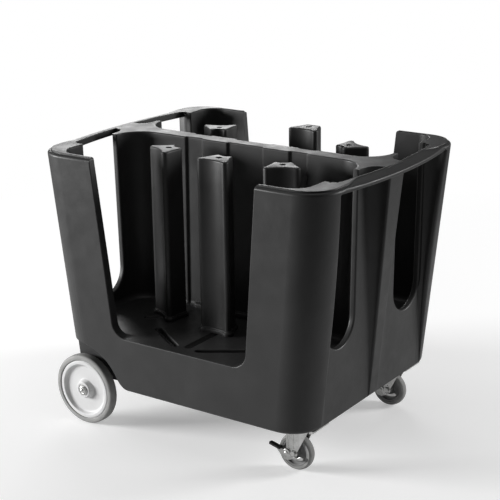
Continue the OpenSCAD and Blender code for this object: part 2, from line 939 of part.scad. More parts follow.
module ball_track(z) {
    translate([0, 0, z])
        rotate_extrude()
            translate([ball_circle_d / 2, 0]) circle(d = ball_d + 2 * gap);
}

module caster_plate(side) {
    color(zinc)
        at_caster(side)
            difference() {
                union() {
                    translate([0, 0, underside_z - plate_t])
                        linear_extrude(plate_t)
                            polygon(rounded_rect(plate_len / 2, plate_w / 2, plate_corner_r));
                    translate([0, 0, race_z]) cylinder(d = race_d, h = race_h + plate_t / 2);
                }
                for (p = plate_holes())
                    translate([p.x, p.y, underside_z - plate_t - overrun])
                        cylinder(d = screw_d + 2 * screw_play, h = plate_t + 2 * overrun);
                translate([0, 0, race_z - overrun]) cylinder(d = kingpin_d, h = race_h + overrun);
                ball_track(race_z);
            }
}

module caster_bolts(side) {
    color(zinc)
        at_caster(side)
            for (p = plate_holes())
                translate(p) hex_screw(underside_z - plate_t, screw_depth - gap);
}

module caster_kingpin(side) {
    head_z = crown_low - gap - kingpin_head_h;
    color(zinc)
        at_caster(side) {
            translate([0, 0, head_z]) cylinder(d = kingpin_head_d, h = kingpin_head_h);
            translate([0, 0, head_z]) cylinder(d = kingpin_d, h = race_z + race_h - head_z);
        }
}

module caster_balls(side) {
    color(zinc)
        at_caster(side)
            for (i = [0:ball_count - 1])
                rotate([0, 0, 360 * i / ball_count])
                    translate([ball_circle_d / 2, 0, race_z - gap / 2])
                        sphere(d = ball_d, $fn = 24);
}

// Outline of a fork leg in x and z: upright behind, hollowed in front, rounded at the axle
module leg_outline() {
    difference() {
        union() {
            polygon(concat(
                [[-leg_back, crown_top], [-leg_back, pivot_z - leg_rear_r]],
                [[-trail, caster_axle_z - leg_boss_r]],
                bend([leg_boss_r - trail, caster_axle_z + leg_boss_r / 2], [leg_boss_r, crown_low - leg_front],
                    [leg_front, crown_top], 6)
            ));
            translate([-trail, caster_axle_z]) circle(r = leg_boss_r);
            translate([leg_rear_r - leg_back, pivot_z - leg_rear_r]) circle(r = leg_rear_r);
        }
        translate([-trail, caster_axle_z]) circle(d = caster_axle_d);
    }
}

module caster_fork(side) {
    rib_x = -trail - leg_boss_r + rib_r / 2;
    color(zinc)
        at_caster(side)
            difference() {
                union() {
                    for (y = [-leg_in, leg_in + leg_t])
                        translate([0, y, 0])
                            rotate([90, 0, 0])
                                linear_extrude(leg_t)
                                    leg_outline();
                    translate([0, 0, crown_low]) cylinder(d = race_d, h = crown_t);
                    translate([-leg_back, -leg_in - leg_t, crown_low])
                        cube([leg_back + leg_front, 2 * (leg_in + leg_t), crown_t]);
                }
                translate([0, 0, crown_low - overrun])
                    cylinder(r = kingpin_d / 2 + running_play, h = crown_t + 2 * overrun);
                ball_track(race_z);
                for (y = [-fork_out, fork_out], z = [caster_axle_z + 2 * rib_r, crown_low - 2 * rib_r])
                    translate([rib_x, y, z])
                        rotate([90, 0, 0])
                            cylinder(r = rib_r, h = leg_t / 2, center = true);
            }
}

// A shape given along +Z is laid along the caster's wheel axle towards -Y
module on_caster_axle(side) {
    at_caster(side)
        translate([-trail, 0, caster_axle_z])
            rotate([90, 0, 0])
                children();
}

module caster_axle(side) {
    color(zinc)
        on_caster_axle(side) {
            translate([0, 0, fork_out]) cylinder(d = axle_head_af / cos(30), h = axle_head_h, $fn = 6);
            translate([0, 0, -fork_out - axle_head_h - axle_end])
                cylinder(d = caster_axle_d, h = 2 * fork_out + 1.5 * axle_head_h + axle_end);
        }
}

module caster_nut(side) {
    color(zinc)
        on_caster_axle(side)
            translate([0, 0, -fork_out - axle_head_h])
                difference() {
                    cylinder(d = axle_head_af / cos(30), h = axle_head_h, $fn = 6);
                    translate([0, 0, -overrun]) cylinder(d = caster_axle_d, h = axle_head_h + 2 * overrun);
                }
}

module caster_core(side) {
    hub = caster_hub_d / 2;
    half = hub_w / 2;
    seat = caster_tyre_w / 2 - core_edge;
    ring = core_r - core_ring_w;
    web = core_web_t / 2;
    color(grey_rubber)
        on_caster_axle(side)
            rotate_extrude()
                polygon(both_faces([
                    [core_r, seat], [ring, seat], [ring - core_edge, web], [hub + core_edge, web],
                    [hub, half - core_edge], [hub - core_edge, half], [caster_axle_d / 2 + running_play, half]
                ]));
}

module caster_tyre(side) {
    color(grey_rubber)
        on_caster_axle(side)
            rotate_extrude()
                polygon(tyre_section(core_r, caster_d / 2, caster_tyre_w, core_edge, caster_tread_r));
}

// Outline of the lever's cheek in x and z: the arm to the pedal behind, the arm below the axle in front
function lever_outline() =
    let (
        low = caster_axle_z - lever_drop,
        p = [for (s = lever_shares) [s.x * lever_len - lever_back, low + s.y * lever_h]]
    )
    concat(
        [p[0], p[1]], bend(p[2], p[3], p[4], 4), bend(p[5], p[6], p[7], 4), bend(p[8], p[9], p[10], 3),
        [p[11], p[12]]
    );

// A shape laid on the pedal's slope, with its front edge at the origin
module on_pedal(side) {
    at_caster(side)
        translate([-pedal_front, lever_y + lever_t / 2, caster_axle_z + pedal_rise])
            rotate([0, pedal_tilt, 0])
                translate([-pedal_len / 2, 0, 0])
                    children();
}

// The brake lever: a cheek outside the fork leg, with a round boss and a sloped tab for the pedal
module brake_lever(side) {
    color(zinc) {
        at_caster(side)
            translate([0, lever_y + lever_t, 0])
                rotate([90, 0, 0])
                    linear_extrude(lever_t)
                        difference() {
                            union() {
                                polygon(lever_outline());
                                translate([-pivot_back, pivot_z]) circle(r = lever_boss_r);
                            }
                            translate([-pivot_back, pivot_z]) circle(r = pivot_d / 2 + running_play);
                            translate([-trail, caster_axle_z])
                                circle(d = axle_head_af / cos(30) + 2 * lever_head_gap);
                        }
        on_pedal(side)
            translate([0, 0, -lever_t])
                linear_extrude(lever_t)
                    polygon(rounded_rect(pedal_len / 2, pedal_w / 2, pad_r));
    }
}

module brake_pivot(side) {
    color(zinc)
        at_caster(side)
            translate([-pivot_back, -fork_out, pivot_z])
                rotate([90, 0, 0]) {
                    cylinder(d = pivot_d, h = lever_t + 2 * gap);
                    translate([0, 0, lever_t + 2 * gap]) cylinder(d = pivot_head_d, h = pivot_head_h);
                }
}

module brake_pad(side) {
    color(black_plastic)
        on_pedal(side)
            linear_extrude(pad_t)
                polygon(rounded_rect(pedal_len / 2, pedal_w / 2, pad_r));
}

body_moulding();
rear_axle();
saddle_screws();
axle_washers();
for (side = sides) {
    axle_saddle(side);
    rear_rim(side);
    rear_tyre(side);
    rear_bush(side);
    axle_cap(side);
    caster_plate(side);
    caster_bolts(side);
    caster_kingpin(side);
    caster_balls(side);
    caster_fork(side);
    caster_axle(side);
    caster_nut(side);
    caster_core(side);
    caster_tyre(side);
    brake_lever(side);
    brake_pivot(side);
    brake_pad(side);
}
for (row = rows, i = [0:len(places) - 1]) {
    at_divider(row, i) divider_form();
    at_divider(row, i) clamp_bolt_form();
    at_divider(row, i) keeper_form();
}
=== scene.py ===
"""Looks of a wheeled cart for stacks of plates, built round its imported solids.

All places are in metres in the frame of the solids: the origin on the floor, X along the cart, Z up.
"""
import math

import bmesh
import bpy
from mathutils import Matrix, Vector


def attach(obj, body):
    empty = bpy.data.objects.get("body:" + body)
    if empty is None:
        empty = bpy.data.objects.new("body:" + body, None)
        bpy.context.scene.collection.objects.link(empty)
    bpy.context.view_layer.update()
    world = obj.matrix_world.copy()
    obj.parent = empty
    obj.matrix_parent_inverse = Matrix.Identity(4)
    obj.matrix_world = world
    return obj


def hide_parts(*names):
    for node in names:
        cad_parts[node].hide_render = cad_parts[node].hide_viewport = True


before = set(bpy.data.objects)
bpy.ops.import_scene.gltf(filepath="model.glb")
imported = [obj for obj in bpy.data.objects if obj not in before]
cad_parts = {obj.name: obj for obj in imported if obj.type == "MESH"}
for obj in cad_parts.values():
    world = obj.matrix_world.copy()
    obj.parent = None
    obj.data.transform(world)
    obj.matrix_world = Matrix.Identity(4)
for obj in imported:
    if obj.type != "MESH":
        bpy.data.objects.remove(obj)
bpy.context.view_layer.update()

bl_info = {
    "name": "Plate cart",
    "version": (1, 0, 0),
    "blender": (4, 5, 0),
    "location": "3D View > Sidebar > Plate cart",
    "description": "Moulded cart for stacks of plates, with dividers, wheels and casters",
    "category": "Object",
}

SIDES = {"near": -1, "far": 1}
OVERRUN = 0.012

# The photo's size and the view's middle in it, in pixels
PHOTO_SIZE = 500
PHOTO_MIDDLE = (251.49, 249.45)

# Each lamp's place, width, height and power
LAMPS = {
    "key": ((-4.2, -2.9, 1.25), 2.0, 1.2, 385),
    "top": ((0.0, 0.2, 3.8), 2.6, 2.6, 16),
    "side": ((3.2, 2.8, 1.6), 1.2, 1.8, 125),
    "rim": ((-2.8, 3.0, 1.8), 2.2, 1.2, 45),
}
LAMP_TARGET = (0, 0, 0.4)


# Settings

def length(text, value):
    return bpy.props.FloatProperty(description=text, default=value, min=0.0, precision=4, unit="LENGTH")


def share(text, value):
    return bpy.props.FloatProperty(description=text, default=value, min=0.0, max=1.0, subtype="FACTOR")


def tint(text, value):
    return bpy.props.FloatVectorProperty(description=text, default=value, min=0.0, max=1.0, subtype="COLOR")


def spot(text, value):
    return bpy.props.FloatVectorProperty(description=text, default=value, subtype="TRANSLATION")


class MouldingSettings(bpy.types.PropertyGroup):
    overall_len: length("Overall length over the bowed handles", 0.950)
    overall_w: length("Overall width at the rim", 0.720)
    overall_h: length("Overall height", 0.780)
    underside: length("Height of the underside above the floor", 0.136)
    deck_rise: length("Height of the deck above the underside", 0.154)
    deck_t: length("Thickness of the deck over the pockets", 0.016)
    wall_t: length("Thickness of the walls at the rim", 0.020)
    corner_r: length("Radius of the upright outer corners", 0.088)
    side_draft: length("Inward lean of each long side", 0.017)
    handle_reach: length("Distance of the end faces behind the handles", 0.022)
    end_draft: length("Inward lean of each end face", 0.064)
    step_h: length("Height of the step along the rim", 0.0045)
    step_in: length("Width of the shoulder outside the step", 0.010)
    rim_round: length("Rounding of the rim's outer shoulder", 0.008)
    foot_round: length("Rounding of the outer foot edge", 0.012)
    edge_r: length("Rounding of the openings' outer edges", 0.003)
    handle_flat: length("Width of the flat along a handle's inner edge", 0.005)
    handle_fall: length("Fall of a handle's top to its outer face", 0.008)
    handle_w: length("Width of each handle in plan", 0.038)
    handle_t: length("Thickness of each handle", 0.019)
    bow_r: length("Radius of the handles' bow in plan", 1.422)
    cut_half: length("Half width of a side opening at the sill", 0.218)
    cut_flare: length("Widening of each half from sill to rim", 0.042)
    cut_r: length("Radius of a side opening's lower corners", 0.045)
    slot_w: length("Width of each upright end slot", 0.138)
    slot_y: length("Distance of an end slot from the middle plane", 0.172)
    slot_rise: length("Height of a slot's bottom centre above the deck", 0.108)
    end_wall_t: length("Thickness of the recessed end wall", 0.017)
    recess_foot: length("Depth of the end recess at the underside", 0.003)
    recess_head: length("Depth of the end recess at the rim", 0.055)
    centre_t: length("Thickness of the centre wall", 0.040)
    pilaster_t: length("Projection of each pilaster", 0.006)
    pilaster_w: length("Width of each pilaster", 0.080)
    pilaster_x: length("Distance of a pilaster from the middle", 0.100)
    web_r: length("Fillets from the centre wall to the end walls", 0.075)
    deck_slot_w: length("Width of the slots in the deck", 0.0195)
    colour: tint("Colour of the moulding", (0.032, 0.032, 0.032))


class DividerSettings(bpy.types.PropertyGroup):
    width: length("Width of a divider's broad hollow face", 0.096)
    back_w: length("Width of a divider's narrow face", 0.054)
    depth: length("Depth of a divider", 0.068)
    drop: length("Height of the rim above a divider's top", 0.010)
    plate_r: length("Radius that the hollow faces follow", 0.088)
    edge_r: length("Radius of the upright edges", 0.010)
    top_round: length("Rounding of the upper edge", 0.005)
    colour: tint("Colour of the dividers", (0.032, 0.032, 0.032))


class RearWheelSettings(bpy.types.PropertyGroup):
    wheel_d: length("Diameter of the rear wheels", 0.200)
    tyre_w: length("Width of the rear tyres", 0.028)
    tyre_t: length("Radial depth of the rear tyres", 0.015)
    axle_x: length("Distance of the axle behind the middle", 0.3475)
    wheel_y: length("Distance of a wheel from the middle plane", 0.316)
    axle_d: length("Diameter of the axle", 0.020)
    rim_colour: tint("Colour of the wheel discs", (0.60, 0.60, 0.60))
    tyre_colour: tint("Colour of the rear tyres", (0.27, 0.27, 0.265))


class CasterSettings(bpy.types.PropertyGroup):
    wheel_d: length("Diameter of the caster wheels", 0.100)
    tyre_w: length("Width of the caster tyres", 0.024)
    tyre_t: length("Radial depth of the caster tyres", 0.011)
    swivel_x: length("Distance from the middle to the swivel axes", 0.329)
    swivel_y: length("Distance of the swivel axes from the middle plane", 0.246)
    trail: length("Trail of the caster wheels", 0.023)
    tyre_colour: tint("Colour of the caster tyres", (0.25, 0.25, 0.245))
    core_colour: tint("Colour of the wheel cores", (0.20, 0.20, 0.20))
    metal_colour: tint("Colour of the plated steel", (0.62, 0.62, 0.61))


class StageSettings(bpy.types.PropertyGroup):
    camera_place: spot("Where the camera stands", (2.0650, -2.9697, 1.6137))
    target: spot("The point the camera looks at", (0.0, 0.0, 0.4802))
    roll: bpy.props.FloatProperty(
        description="Turn of the camera about its view", default=math.radians(-0.812), subtype="ANGLE"
    )
    lens: bpy.props.FloatProperty(description="Focal length in millimetres", default=98.936, min=1.0)
    floor_r: length("Radius of the floor", 30.0)
    floor_colour: tint("Colour of the floor", (0.80, 0.80, 0.80))
    floor_glow: share("Brightness that the floor keeps in shadow", 0.34)
    bounce: share("Light that the floor sends back to the cart", 0.10)
    sky: share("Light that comes from all round", 0.05)
    mirrored_sky: share("Light from all round that gloss mirrors", 0.15)


# Outlines

def arc(cx, cy, r, start, stop, steps):
    """Points of an arc between two angles in degrees."""
    angles = [math.radians(start + (stop - start) * i / steps) for i in range(steps + 1)]
    return [(cx + r * math.cos(a), cy + r * math.sin(a)) for a in angles]


def circle(cx, cy, r, steps):
    return arc(cx, cy, r, 0, 360 - 360 / steps, steps - 1)


def bend(p, q, r, steps):
    """Points of a quadratic curve from p to r, drawn towards q."""
    out = []
    for i in range(steps + 1):
        t = i / steps
        weights = ((1 - t) ** 2, 2 * t * (1 - t), t * t)
        out.append(tuple(sum(w * v[k] for w, v in zip(weights, (p, q, r))) for k in (0, 1)))
    return out


def edge_round(r, steps=5):
    """Inset and drop along a rounded edge, from its upright side to its level top."""
    angles = [math.pi / 2 * i / steps for i in range(steps + 1)]
    return [(r * (1 - math.cos(a)), r * (1 - math.sin(a))) for a in angles]


def rounded_rect(hx, hy, r, steps=12):
    out = []
    for quarter in range(4):
        cx = hx - r if quarter in (0, 3) else r - hx
        cy = hy - r if quarter < 2 else r - hy
        out += arc(cx, cy, r, 90 * quarter, 90 * quarter + 90, steps)
    return out


def mirrored_x(points):
    return [(-x, y) for x, y in reversed(points)]


def both_faces(run):
    """A closed section from its half on one face, with the half mirrored to the other face."""
    return [(r, -z) for r, z in run] + list(reversed(run))


def unit(x, y):
    size = math.hypot(x, y)
    return x / size, y / size


def grown(outline, d):
    """An anticlockwise outline grown outwards by d."""
    out = []
    for i, (x, y) in enumerate(outline):
        bx, by = outline[i - 1]
        nx, ny = outline[(i + 1) % len(outline)]
        ax, ay = unit(x - bx, y - by)
        cx, cy = unit(nx - x, ny - y)
        tx, ty = unit(ax + cx, ay + cy)
        out.append((x + d * ty, y - d * tx))
    return out


def eased(points, cut, steps=3):
    """Open run of points with its inner corners rounded over the length cut."""
    out = [points[0]]
    for i in range(1, len(points) - 1):
        x, y = points[i]
        ax, ay = unit(points[i - 1][0] - x, points[i - 1][1] - y)
        bx, by = unit(points[i + 1][0] - x, points[i + 1][1] - y)
        out += bend((x + ax * cut, y + ay * cut), (x, y), (x + bx * cut, y + by * cut), steps)
    return out + [points[-1]]


# Mesh work

def close_and_face(bm):
    """Merges what meets, fills what is open and turns every face outwards."""
    bmesh.ops.remove_doubles(bm, verts=bm.verts[:], dist=1e-6)
    rims = [e for e in bm.edges if e.is_boundary]
    if rims:
        bmesh.ops.holes_fill(bm, edges=rims, sides=0)
    bmesh.ops.recalc_face_normals(bm, faces=bm.faces[:])
    return bm


def loft(rings):
    """A closed solid through rings with equal numbers of points."""
    bm = bmesh.new()
    n = len(rings[0])
    bmesh.ops.create_grid(bm, x_segments=n, y_segments=len(rings) - 1, size=0.5)
    bm.verts.ensure_lookup_table()
    for k, ring in enumerate(rings):
        for i in range(n + 1):
            bm.verts[k * (n + 1) + i].co = ring[i % n]
    return close_and_face(bm)


def turned(section, steps):
    """A closed solid of revolution from points in radius and height, about Z."""
    bm = bmesh.new()
    verts = [bm.verts.new((r, 0, z)) for r, z in section]
    edges = [bm.edges.new((a, b)) for a, b in zip(verts, verts[1:] + verts[:1])]
    bmesh.ops.spin(
        bm, geom=verts + edges, cent=(0, 0, 0), axis=(0, 0, 1), angle=2 * math.pi, steps=steps, use_merge=True
    )
    return close_and_face(bm)


def stacked(outline, rows):
    """An upright solid from a plan outline, with its growth and height at each row."""
    return loft([[(x, y, z) for x, y in grown(outline, d)] for d, z in rows])


def raised(outline, low, high, edge=0.0, steps=3):
    """An upright solid from a plan outline, with both its edges rounded."""
    rows = [(0.0, low), (0.0, high)]
    if edge:
        rows = [(-e[0], low + e[1]) for e in reversed(edge_round(edge, steps))]
        rows += [(-e[0], high - e[1]) for e in edge_round(edge, steps)]
    return stacked(outline, rows)


def placed(bm, matrix):
    bmesh.ops.transform(bm, matrix=matrix, verts=bm.verts[:])
    if matrix.determinant() < 0:
        bmesh.ops.reverse_faces(bm, faces=bm.faces[:])
    return bm


def joined(parts):
    """One bmesh from several, which are freed."""
    out = bmesh.new()
    for part in parts:
        spare = bpy.data.meshes.new("spare")
        part.to_mesh(spare)
        part.free()
        out.from_mesh(spare)
        bpy.data.meshes.remove(spare)
    return out


def mirrored(bm, axis):
    """The bmesh and its mirror image across a main plane."""
    copy = bm.copy()
    scale = [1, 1, 1]
    scale["XYZ".index(axis)] = -1
    return joined([bm, placed(copy, Matrix.Diagonal((*scale, 1)))])


def linked(name, data):
    obj = bpy.data.objects.new(name, data)
    bpy.context.scene.collection.objects.link(obj)
    return obj


def object_from(name, bm):
    mesh = bpy.data.meshes.new(name)
    bm.to_mesh(mesh)
    bm.free()
    return linked(name, mesh)


def combined(base, tools, operation):
    """The first bmesh with the others cut away, added or kept in common."""
    obj = object_from("work", base)
    helpers = [object_from("tool", tool) for tool in tools]
    for helper in helpers:
        mod = obj.modifiers.new("cut", "BOOLEAN")
        mod.operation = operation
        mod.solver = "MANIFOLD"
        mod.object = helper
    bpy.context.view_layer.update()
    baked = bpy.data.meshes.new_from_object(obj.evaluated_get(bpy.context.evaluated_depsgraph_get()))
    out = bmesh.new()
    out.from_mesh(baked)
    bpy.data.meshes.remove(baked)
    for item in [obj] + helpers:
        mesh = item.data
        bpy.data.objects.remove(item)
        bpy.data.meshes.remove(mesh)
    return out


def piece(name, bm, body, material, nodes=(), sharp=35.0):
    """A finished piece that rides on a body and stands for CAD nodes."""
    limit = math.radians(sharp)
    for face in bm.faces:
        face.smooth = True
    for edge in bm.edges:
        edge.smooth = not edge.is_manifold or edge.calc_face_angle(math.pi) < limit
    if not bm.faces:
        raise RuntimeError(f"{name} came out empty")
    obj = object_from(name, bm)
    obj.data.materials.append(material)
    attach(obj, body)
    if nodes:
        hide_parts(*nodes)
    return obj


# Finishes

def nodes_of(name):
    material = bpy.data.materials.new(name)
    material.use_nodes = True
    tree = material.node_tree
    return material, tree, tree.nodes["Principled BSDF"], tree.nodes.new("ShaderNodeTexCoord")


def noise(tree, source, scale, detail=3.0, stretch=(1, 1, 1)):
    """Noise on the object's own coordinates, drawn out along an axis by stretch."""
    mapping = tree.nodes.new("ShaderNodeMapping")
    mapping.inputs["Scale"].default_value = stretch
    tree.links.new(source.outputs["Object"], mapping.inputs["Vector"])
    texture = tree.nodes.new("ShaderNodeTexNoise")
    texture.inputs["Scale"].default_value = scale
    texture.inputs["Detail"].default_value = detail
    tree.links.new(mapping.outputs["Vector"], texture.inputs["Vector"])
    return texture.outputs["Fac"]


def ranged(tree, value, low, high, start=0.3, stop=0.7):
    """The value's middle range mapped to low and high."""
    node = tree.nodes.new("ShaderNodeMapRange")
    for key, number in (("From Min", start), ("From Max", stop), ("To Min", low), ("To Max", high)):
        node.inputs[key].default_value = number
    tree.links.new(value, node.inputs["Value"])
    return node.outputs["Result"]


def shaded(tree, value, dark, light):
    """A colour between dark and light by the value."""
    node = tree.nodes.new("ShaderNodeMix")
    node.data_type = "RGBA"
    node.inputs[6].default_value = (*dark, 1)
    node.inputs[7].default_value = (*light, 1)
    tree.links.new(value, node.inputs[0])
    return node.outputs[2]


def bumped(tree, shader, layers):
    """Stacks bumps on the shader, each from a value and a depth in metres."""
    before = None
    for value, depth in layers:
        node = tree.nodes.new("ShaderNodeBump")
        node.inputs["Distance"].default_value = depth
        node.inputs["Strength"].default_value = 1.0
        tree.links.new(value, node.inputs["Height"])
        if before:
            tree.links.new(before, node.inputs["Normal"])
        before = node.outputs["Normal"]
    tree.links.new(before, shader.inputs["Normal"])


def clouded(tree, shader, colour, value, dark, light):
    """Runs the base colour between its darker and lighter self by the value."""
    dark, light = (tuple(min(1.0, c * factor) for c in colour) for factor in (dark, light))
    tree.links.new(shaded(tree, value, dark, light), shader.inputs["Base Color"])


def moulded_plastic(name, colour, gloss=(0.36, 0.50), grain=1400.0, spread=0.12):
    """Moulded plastic with a fine grain, a faint flow in its colour and scuffs in its gloss."""
    material, tree, shader, source = nodes_of(name)
    flow = ranged(tree, noise(tree, source, 7.0, 4.0), 0.0, 1.0)
    clouded(tree, shader, colour, flow, 1 - spread, 1 + spread)
    tree.links.new(ranged(tree, noise(tree, source, 22.0, 5.0), *gloss), shader.inputs["Roughness"])
    pores, waves = noise(tree, source, grain, 2.0), noise(tree, source, 60.0, 2.0)
    bumped(tree, shader, [(pores, 0.00006), (waves, 0.00024)])
    shader.inputs["Specular IOR Level"].default_value = 0.3
    return material


def rubber(name, colour):
    """Dull rubber with dust in its pores and a slight unevenness."""
    material, tree, shader, source = nodes_of(name)
    dust = ranged(tree, noise(tree, source, 35.0, 6.0), 0.0, 1.0)
    clouded(tree, shader, colour, dust, 0.88, 1.12)
    tree.links.new(ranged(tree, noise(tree, source, 90.0, 3.0), 0.55, 0.72), shader.inputs["Roughness"])
    pores, waves = noise(tree, source, 1800.0, 2.0), noise(tree, source, 120.0, 2.0)
    bumped(tree, shader, [(pores, 0.00005), (waves, 0.00012)])
    shader.inputs["Specular IOR Level"].default_value = 0.35
    return material


def plated_steel(name, colour, gloss=(0.22, 0.40), stretch=(1, 1, 0.15)):
    """Plated steel with fine drawn lines and a clouded plating."""
    material, tree, shader, source = nodes_of(name)
    cloud = ranged(tree, noise(tree, source, 60.0, 5.0), 0.0, 1.0)
    clouded(tree, shader, colour, cloud, 0.85, 1.12)
    lines = noise(tree, source, 1500.0, 3.0, stretch)
    tree.links.new(ranged(tree, noise(tree, source, 220.0, 4.0, stretch), *gloss), shader.inputs["Roughness"])
    bumped(tree, shader, [(lines, 0.00002)])
    shader.inputs["Metallic"].default_value = 1.0
    return material


# Moulding

class Moulding:
    """Places on the moulding, worked out from its settings, in the quadrant towards +X and +Y."""

    quarter = 14
    crown = 0.002
    inner_lean, outer_lean = 0.008, 0.005
    bay_corner_r, bay_foot_r, bay_edge_r = 0.050, 0.016, 0.004
    fin_foot, fin_spread, fin_power = 0.022, 0.016, 1.6
    waist, waist_y, post_head, post_foot, post_top = 0.46, 0.250, 0.021, 0.014, 0.232
    slot_edge_r, deck_slot_edge_r = 0.005, 0.003
    arch_top, arch_room, arch_back_r, arch_end_r, arch_y = 0.114, 0.050, 0.055, 0.015, 0.293
    ledge_h, ledge_w, ledge_r = 0.013, 0.015, 0.004
    pocket_in, pocket_r = 0.034, 0.022
    screw_r, screw_depth = 0.0044, 0.030

    def __init__(self, s):
        self.s = s
        self.deck = s.underside + s.deck_rise
        self.pocket_top = self.deck - s.deck_t
        self.rim_x = s.overall_len / 2 - s.handle_reach
        self.rim_y = s.overall_w / 2
        self.out_x = s.overall_len / 2 + OVERRUN

    def up(self, z):
        s = self.s
        return (z - s.underside) / (s.overall_h - s.underside - s.step_h - s.rim_round)

    def side(self, z):
        return self.rim_y - self.s.side_draft * (1 - self.up(z))

    def end(self, z):
        return self.rim_x - self.s.end_draft * (1 - self.up(z))

    def wall(self, z):
        s = self.s
        return self.end(z) - s.recess_foot - (s.recess_head - s.recess_foot) * self.up(z)

    def fin(self, z):
        return self.fin_foot + self.fin_spread * max(0.0, self.up(z)) ** self.fin_power

    def post(self, z):
        waist, t = self.waist, self.up(z)
        if t > waist:
            return self.waist_y + self.post_head * ((t - waist) / (1 - waist)) ** 2
        return self.waist_y + self.post_foot * ((waist - t) / waist) ** 2

    def outer_block(self):
        s = self.s
        shoulder = s.overall_h - s.step_h
        levels = [(e[0], s.underside + e[1]) for e in reversed(edge_round(s.foot_round, 6))]
        levels += [(e[0], shoulder - e[1]) for e in edge_round(s.rim_round, 6)]
        levels += [(s.step_in, shoulder)]
        levels += [(s.step_in + e[0], s.overall_h - e[1]) for e in edge_round(self.crown, 3)]
        rings = []
        for d, z in levels:
            outline = rounded_rect(self.end(z) - d, self.side(z) - d, s.corner_r - d, self.quarter)
            rings.append([(x, y, z) for x, y in outline])
        return loft(rings)

    def bay_outline(self, z):
        s = self.s
        depth = (s.overall_h - z) / (s.overall_h - self.deck)
        panel = s.centre_t / 2 + self.inner_lean * depth
        step, face = s.pilaster_t, panel + s.pilaster_t
        start, stop = s.pilaster_x - s.pilaster_w / 2, s.pilaster_x + s.pilaster_w / 2
        tail = 2 * s.pilaster_x
        x = self.wall(z) - s.end_wall_t
        y = self.side(z) - s.wall_t - self.outer_lean * depth
        r, web = self.bay_corner_r, s.web_r
        run = [(0, panel), (start - step, panel), (start, face), (stop, face), (stop + step, panel)]
        run += [(tail - step, panel), (tail, face), (tail + 0.03, face)]
        half = eased(run, 0.0025)[1:]
        half += arc(x - web, face + web, web, -90, 0, self.quarter)
        half += arc(x - r, y - r, r, 0, 90, self.quarter)
        return half + mirrored_x(half)

    def bay(self):
        top = self.s.overall_h
        rows = [(-e[0], self.deck + e[1]) for e in reversed(edge_round(self.bay_foot_r, 6))]
        rows += [(e[0], top - e[1]) for e in edge_round(self.bay_edge_r, 4)]
        rows += [(self.bay_edge_r, top + OVERRUN)]
        return loft([[(x, y, z) for x, y in grown(self.bay_outline(min(z, top)), d)] for d, z in rows])

    def side_ring(self, outline, depth):
        return [(x, self.side(z) - depth, z) for x, z in reversed(outline)]

    def through_side(self, inner, outline):
        """A cut from an inner ring out through the side, with its outer edge rounded."""
        r = self.s.edge_r
        rings = [self.side_ring(grown(outline, e[0]), e[1]) for e in edge_round(r, 6)]
        return loft([inner] + rings + [self.side_ring(grown(outline, r), -OVERRUN)])

    def side_cut(self):
        s = self.s
        slope = s.cut_flare / (s.overall_h - self.deck)
        foot, head, lip = s.cut_half - s.cut_r, s.cut_half + s.cut_flare, s.rim_round
        half = arc(foot, self.deck + s.cut_r, s.cut_r, -90, -math.degrees(math.atan(slope)), self.quarter)
        top = s.overall_h
        half += bend((head - lip * slope, top - lip), (head, top), (head + lip, top), 5)
        half += [(head + lip, top + OVERRUN)]
        outline = half + mirrored_x(half)
        depth = s.wall_t + self.bay_foot_r + self.outer_lean + OVERRUN
        return self.through_side(self.side_ring(outline, depth), outline)

    def recess_outline(self, z, post):
        s = self.s
        wall, face, fin = self.wall(z), self.end(z), self.fin(z)
        depth = face - wall
        fr, pr = min(0.006, depth / 2), min(0.010, depth / 2)
        slot_out = s.slot_y + s.slot_w / 2
        out = [(self.out_x, fin - fr)]
        out += [(face - e[1], fin - e[0]) for e in reversed(edge_round(fr, 5))]
        out += bend((face - fr, fin), (wall, fin), (wall, fin + 0.045), 10)[1:]
        out += bend((wall, slot_out), (wall + depth * 0.3, post + 0.002), (face - pr, post), 10)
        out += [(face - e[1], post + e[0]) for e in edge_round(pr, 5)[1:]]
        return list(reversed(out + [(self.out_x, post + pr)]))

    def end_recess(self):
        s = self.s
        low, high = s.underside, s.overall_h
        web = high - s.handle_t
        count = 16
        levels = [(low - OVERRUN, low, self.post(low))]
        for i in range(count + 1):
            z = low + (web - low) * i / count
            levels.append((z, z, self.post(z)))
        levels += [(high, high, self.post_top), (high + OVERRUN, high, self.post_top)]
        return loft([[(x, y, z) for x, y in self.recess_outline(at, post)] for z, at, post in levels])

    def end_slot(self):
        s = self.s
        r, z, edge = s.slot_w / 2, self.deck + s.slot_rise, self.slot_edge_r
        outline = arc(s.slot_y, z, r, -180, 0, 2 * self.quarter)
        outline += [(s.slot_y + r, s.overall_h + 2 * OVERRUN), (s.slot_y - r, s.overall_h + 2 * OVERRUN)]

        def ring(grow, depth):
            return [(self.wall(h) - depth, y, h) for y, h in grown(outline, grow)]

        turn = edge_round(edge, 4)
        rings = [ring(edge, s.end_wall_t + OVERRUN)]
        rings += [ring(e[0], s.end_wall_t - e[1]) for e in reversed(turn)]
        rings += [ring(e[0], e[1]) for e in turn]
        return loft(rings + [ring(edge, -OVERRUN / 2)])

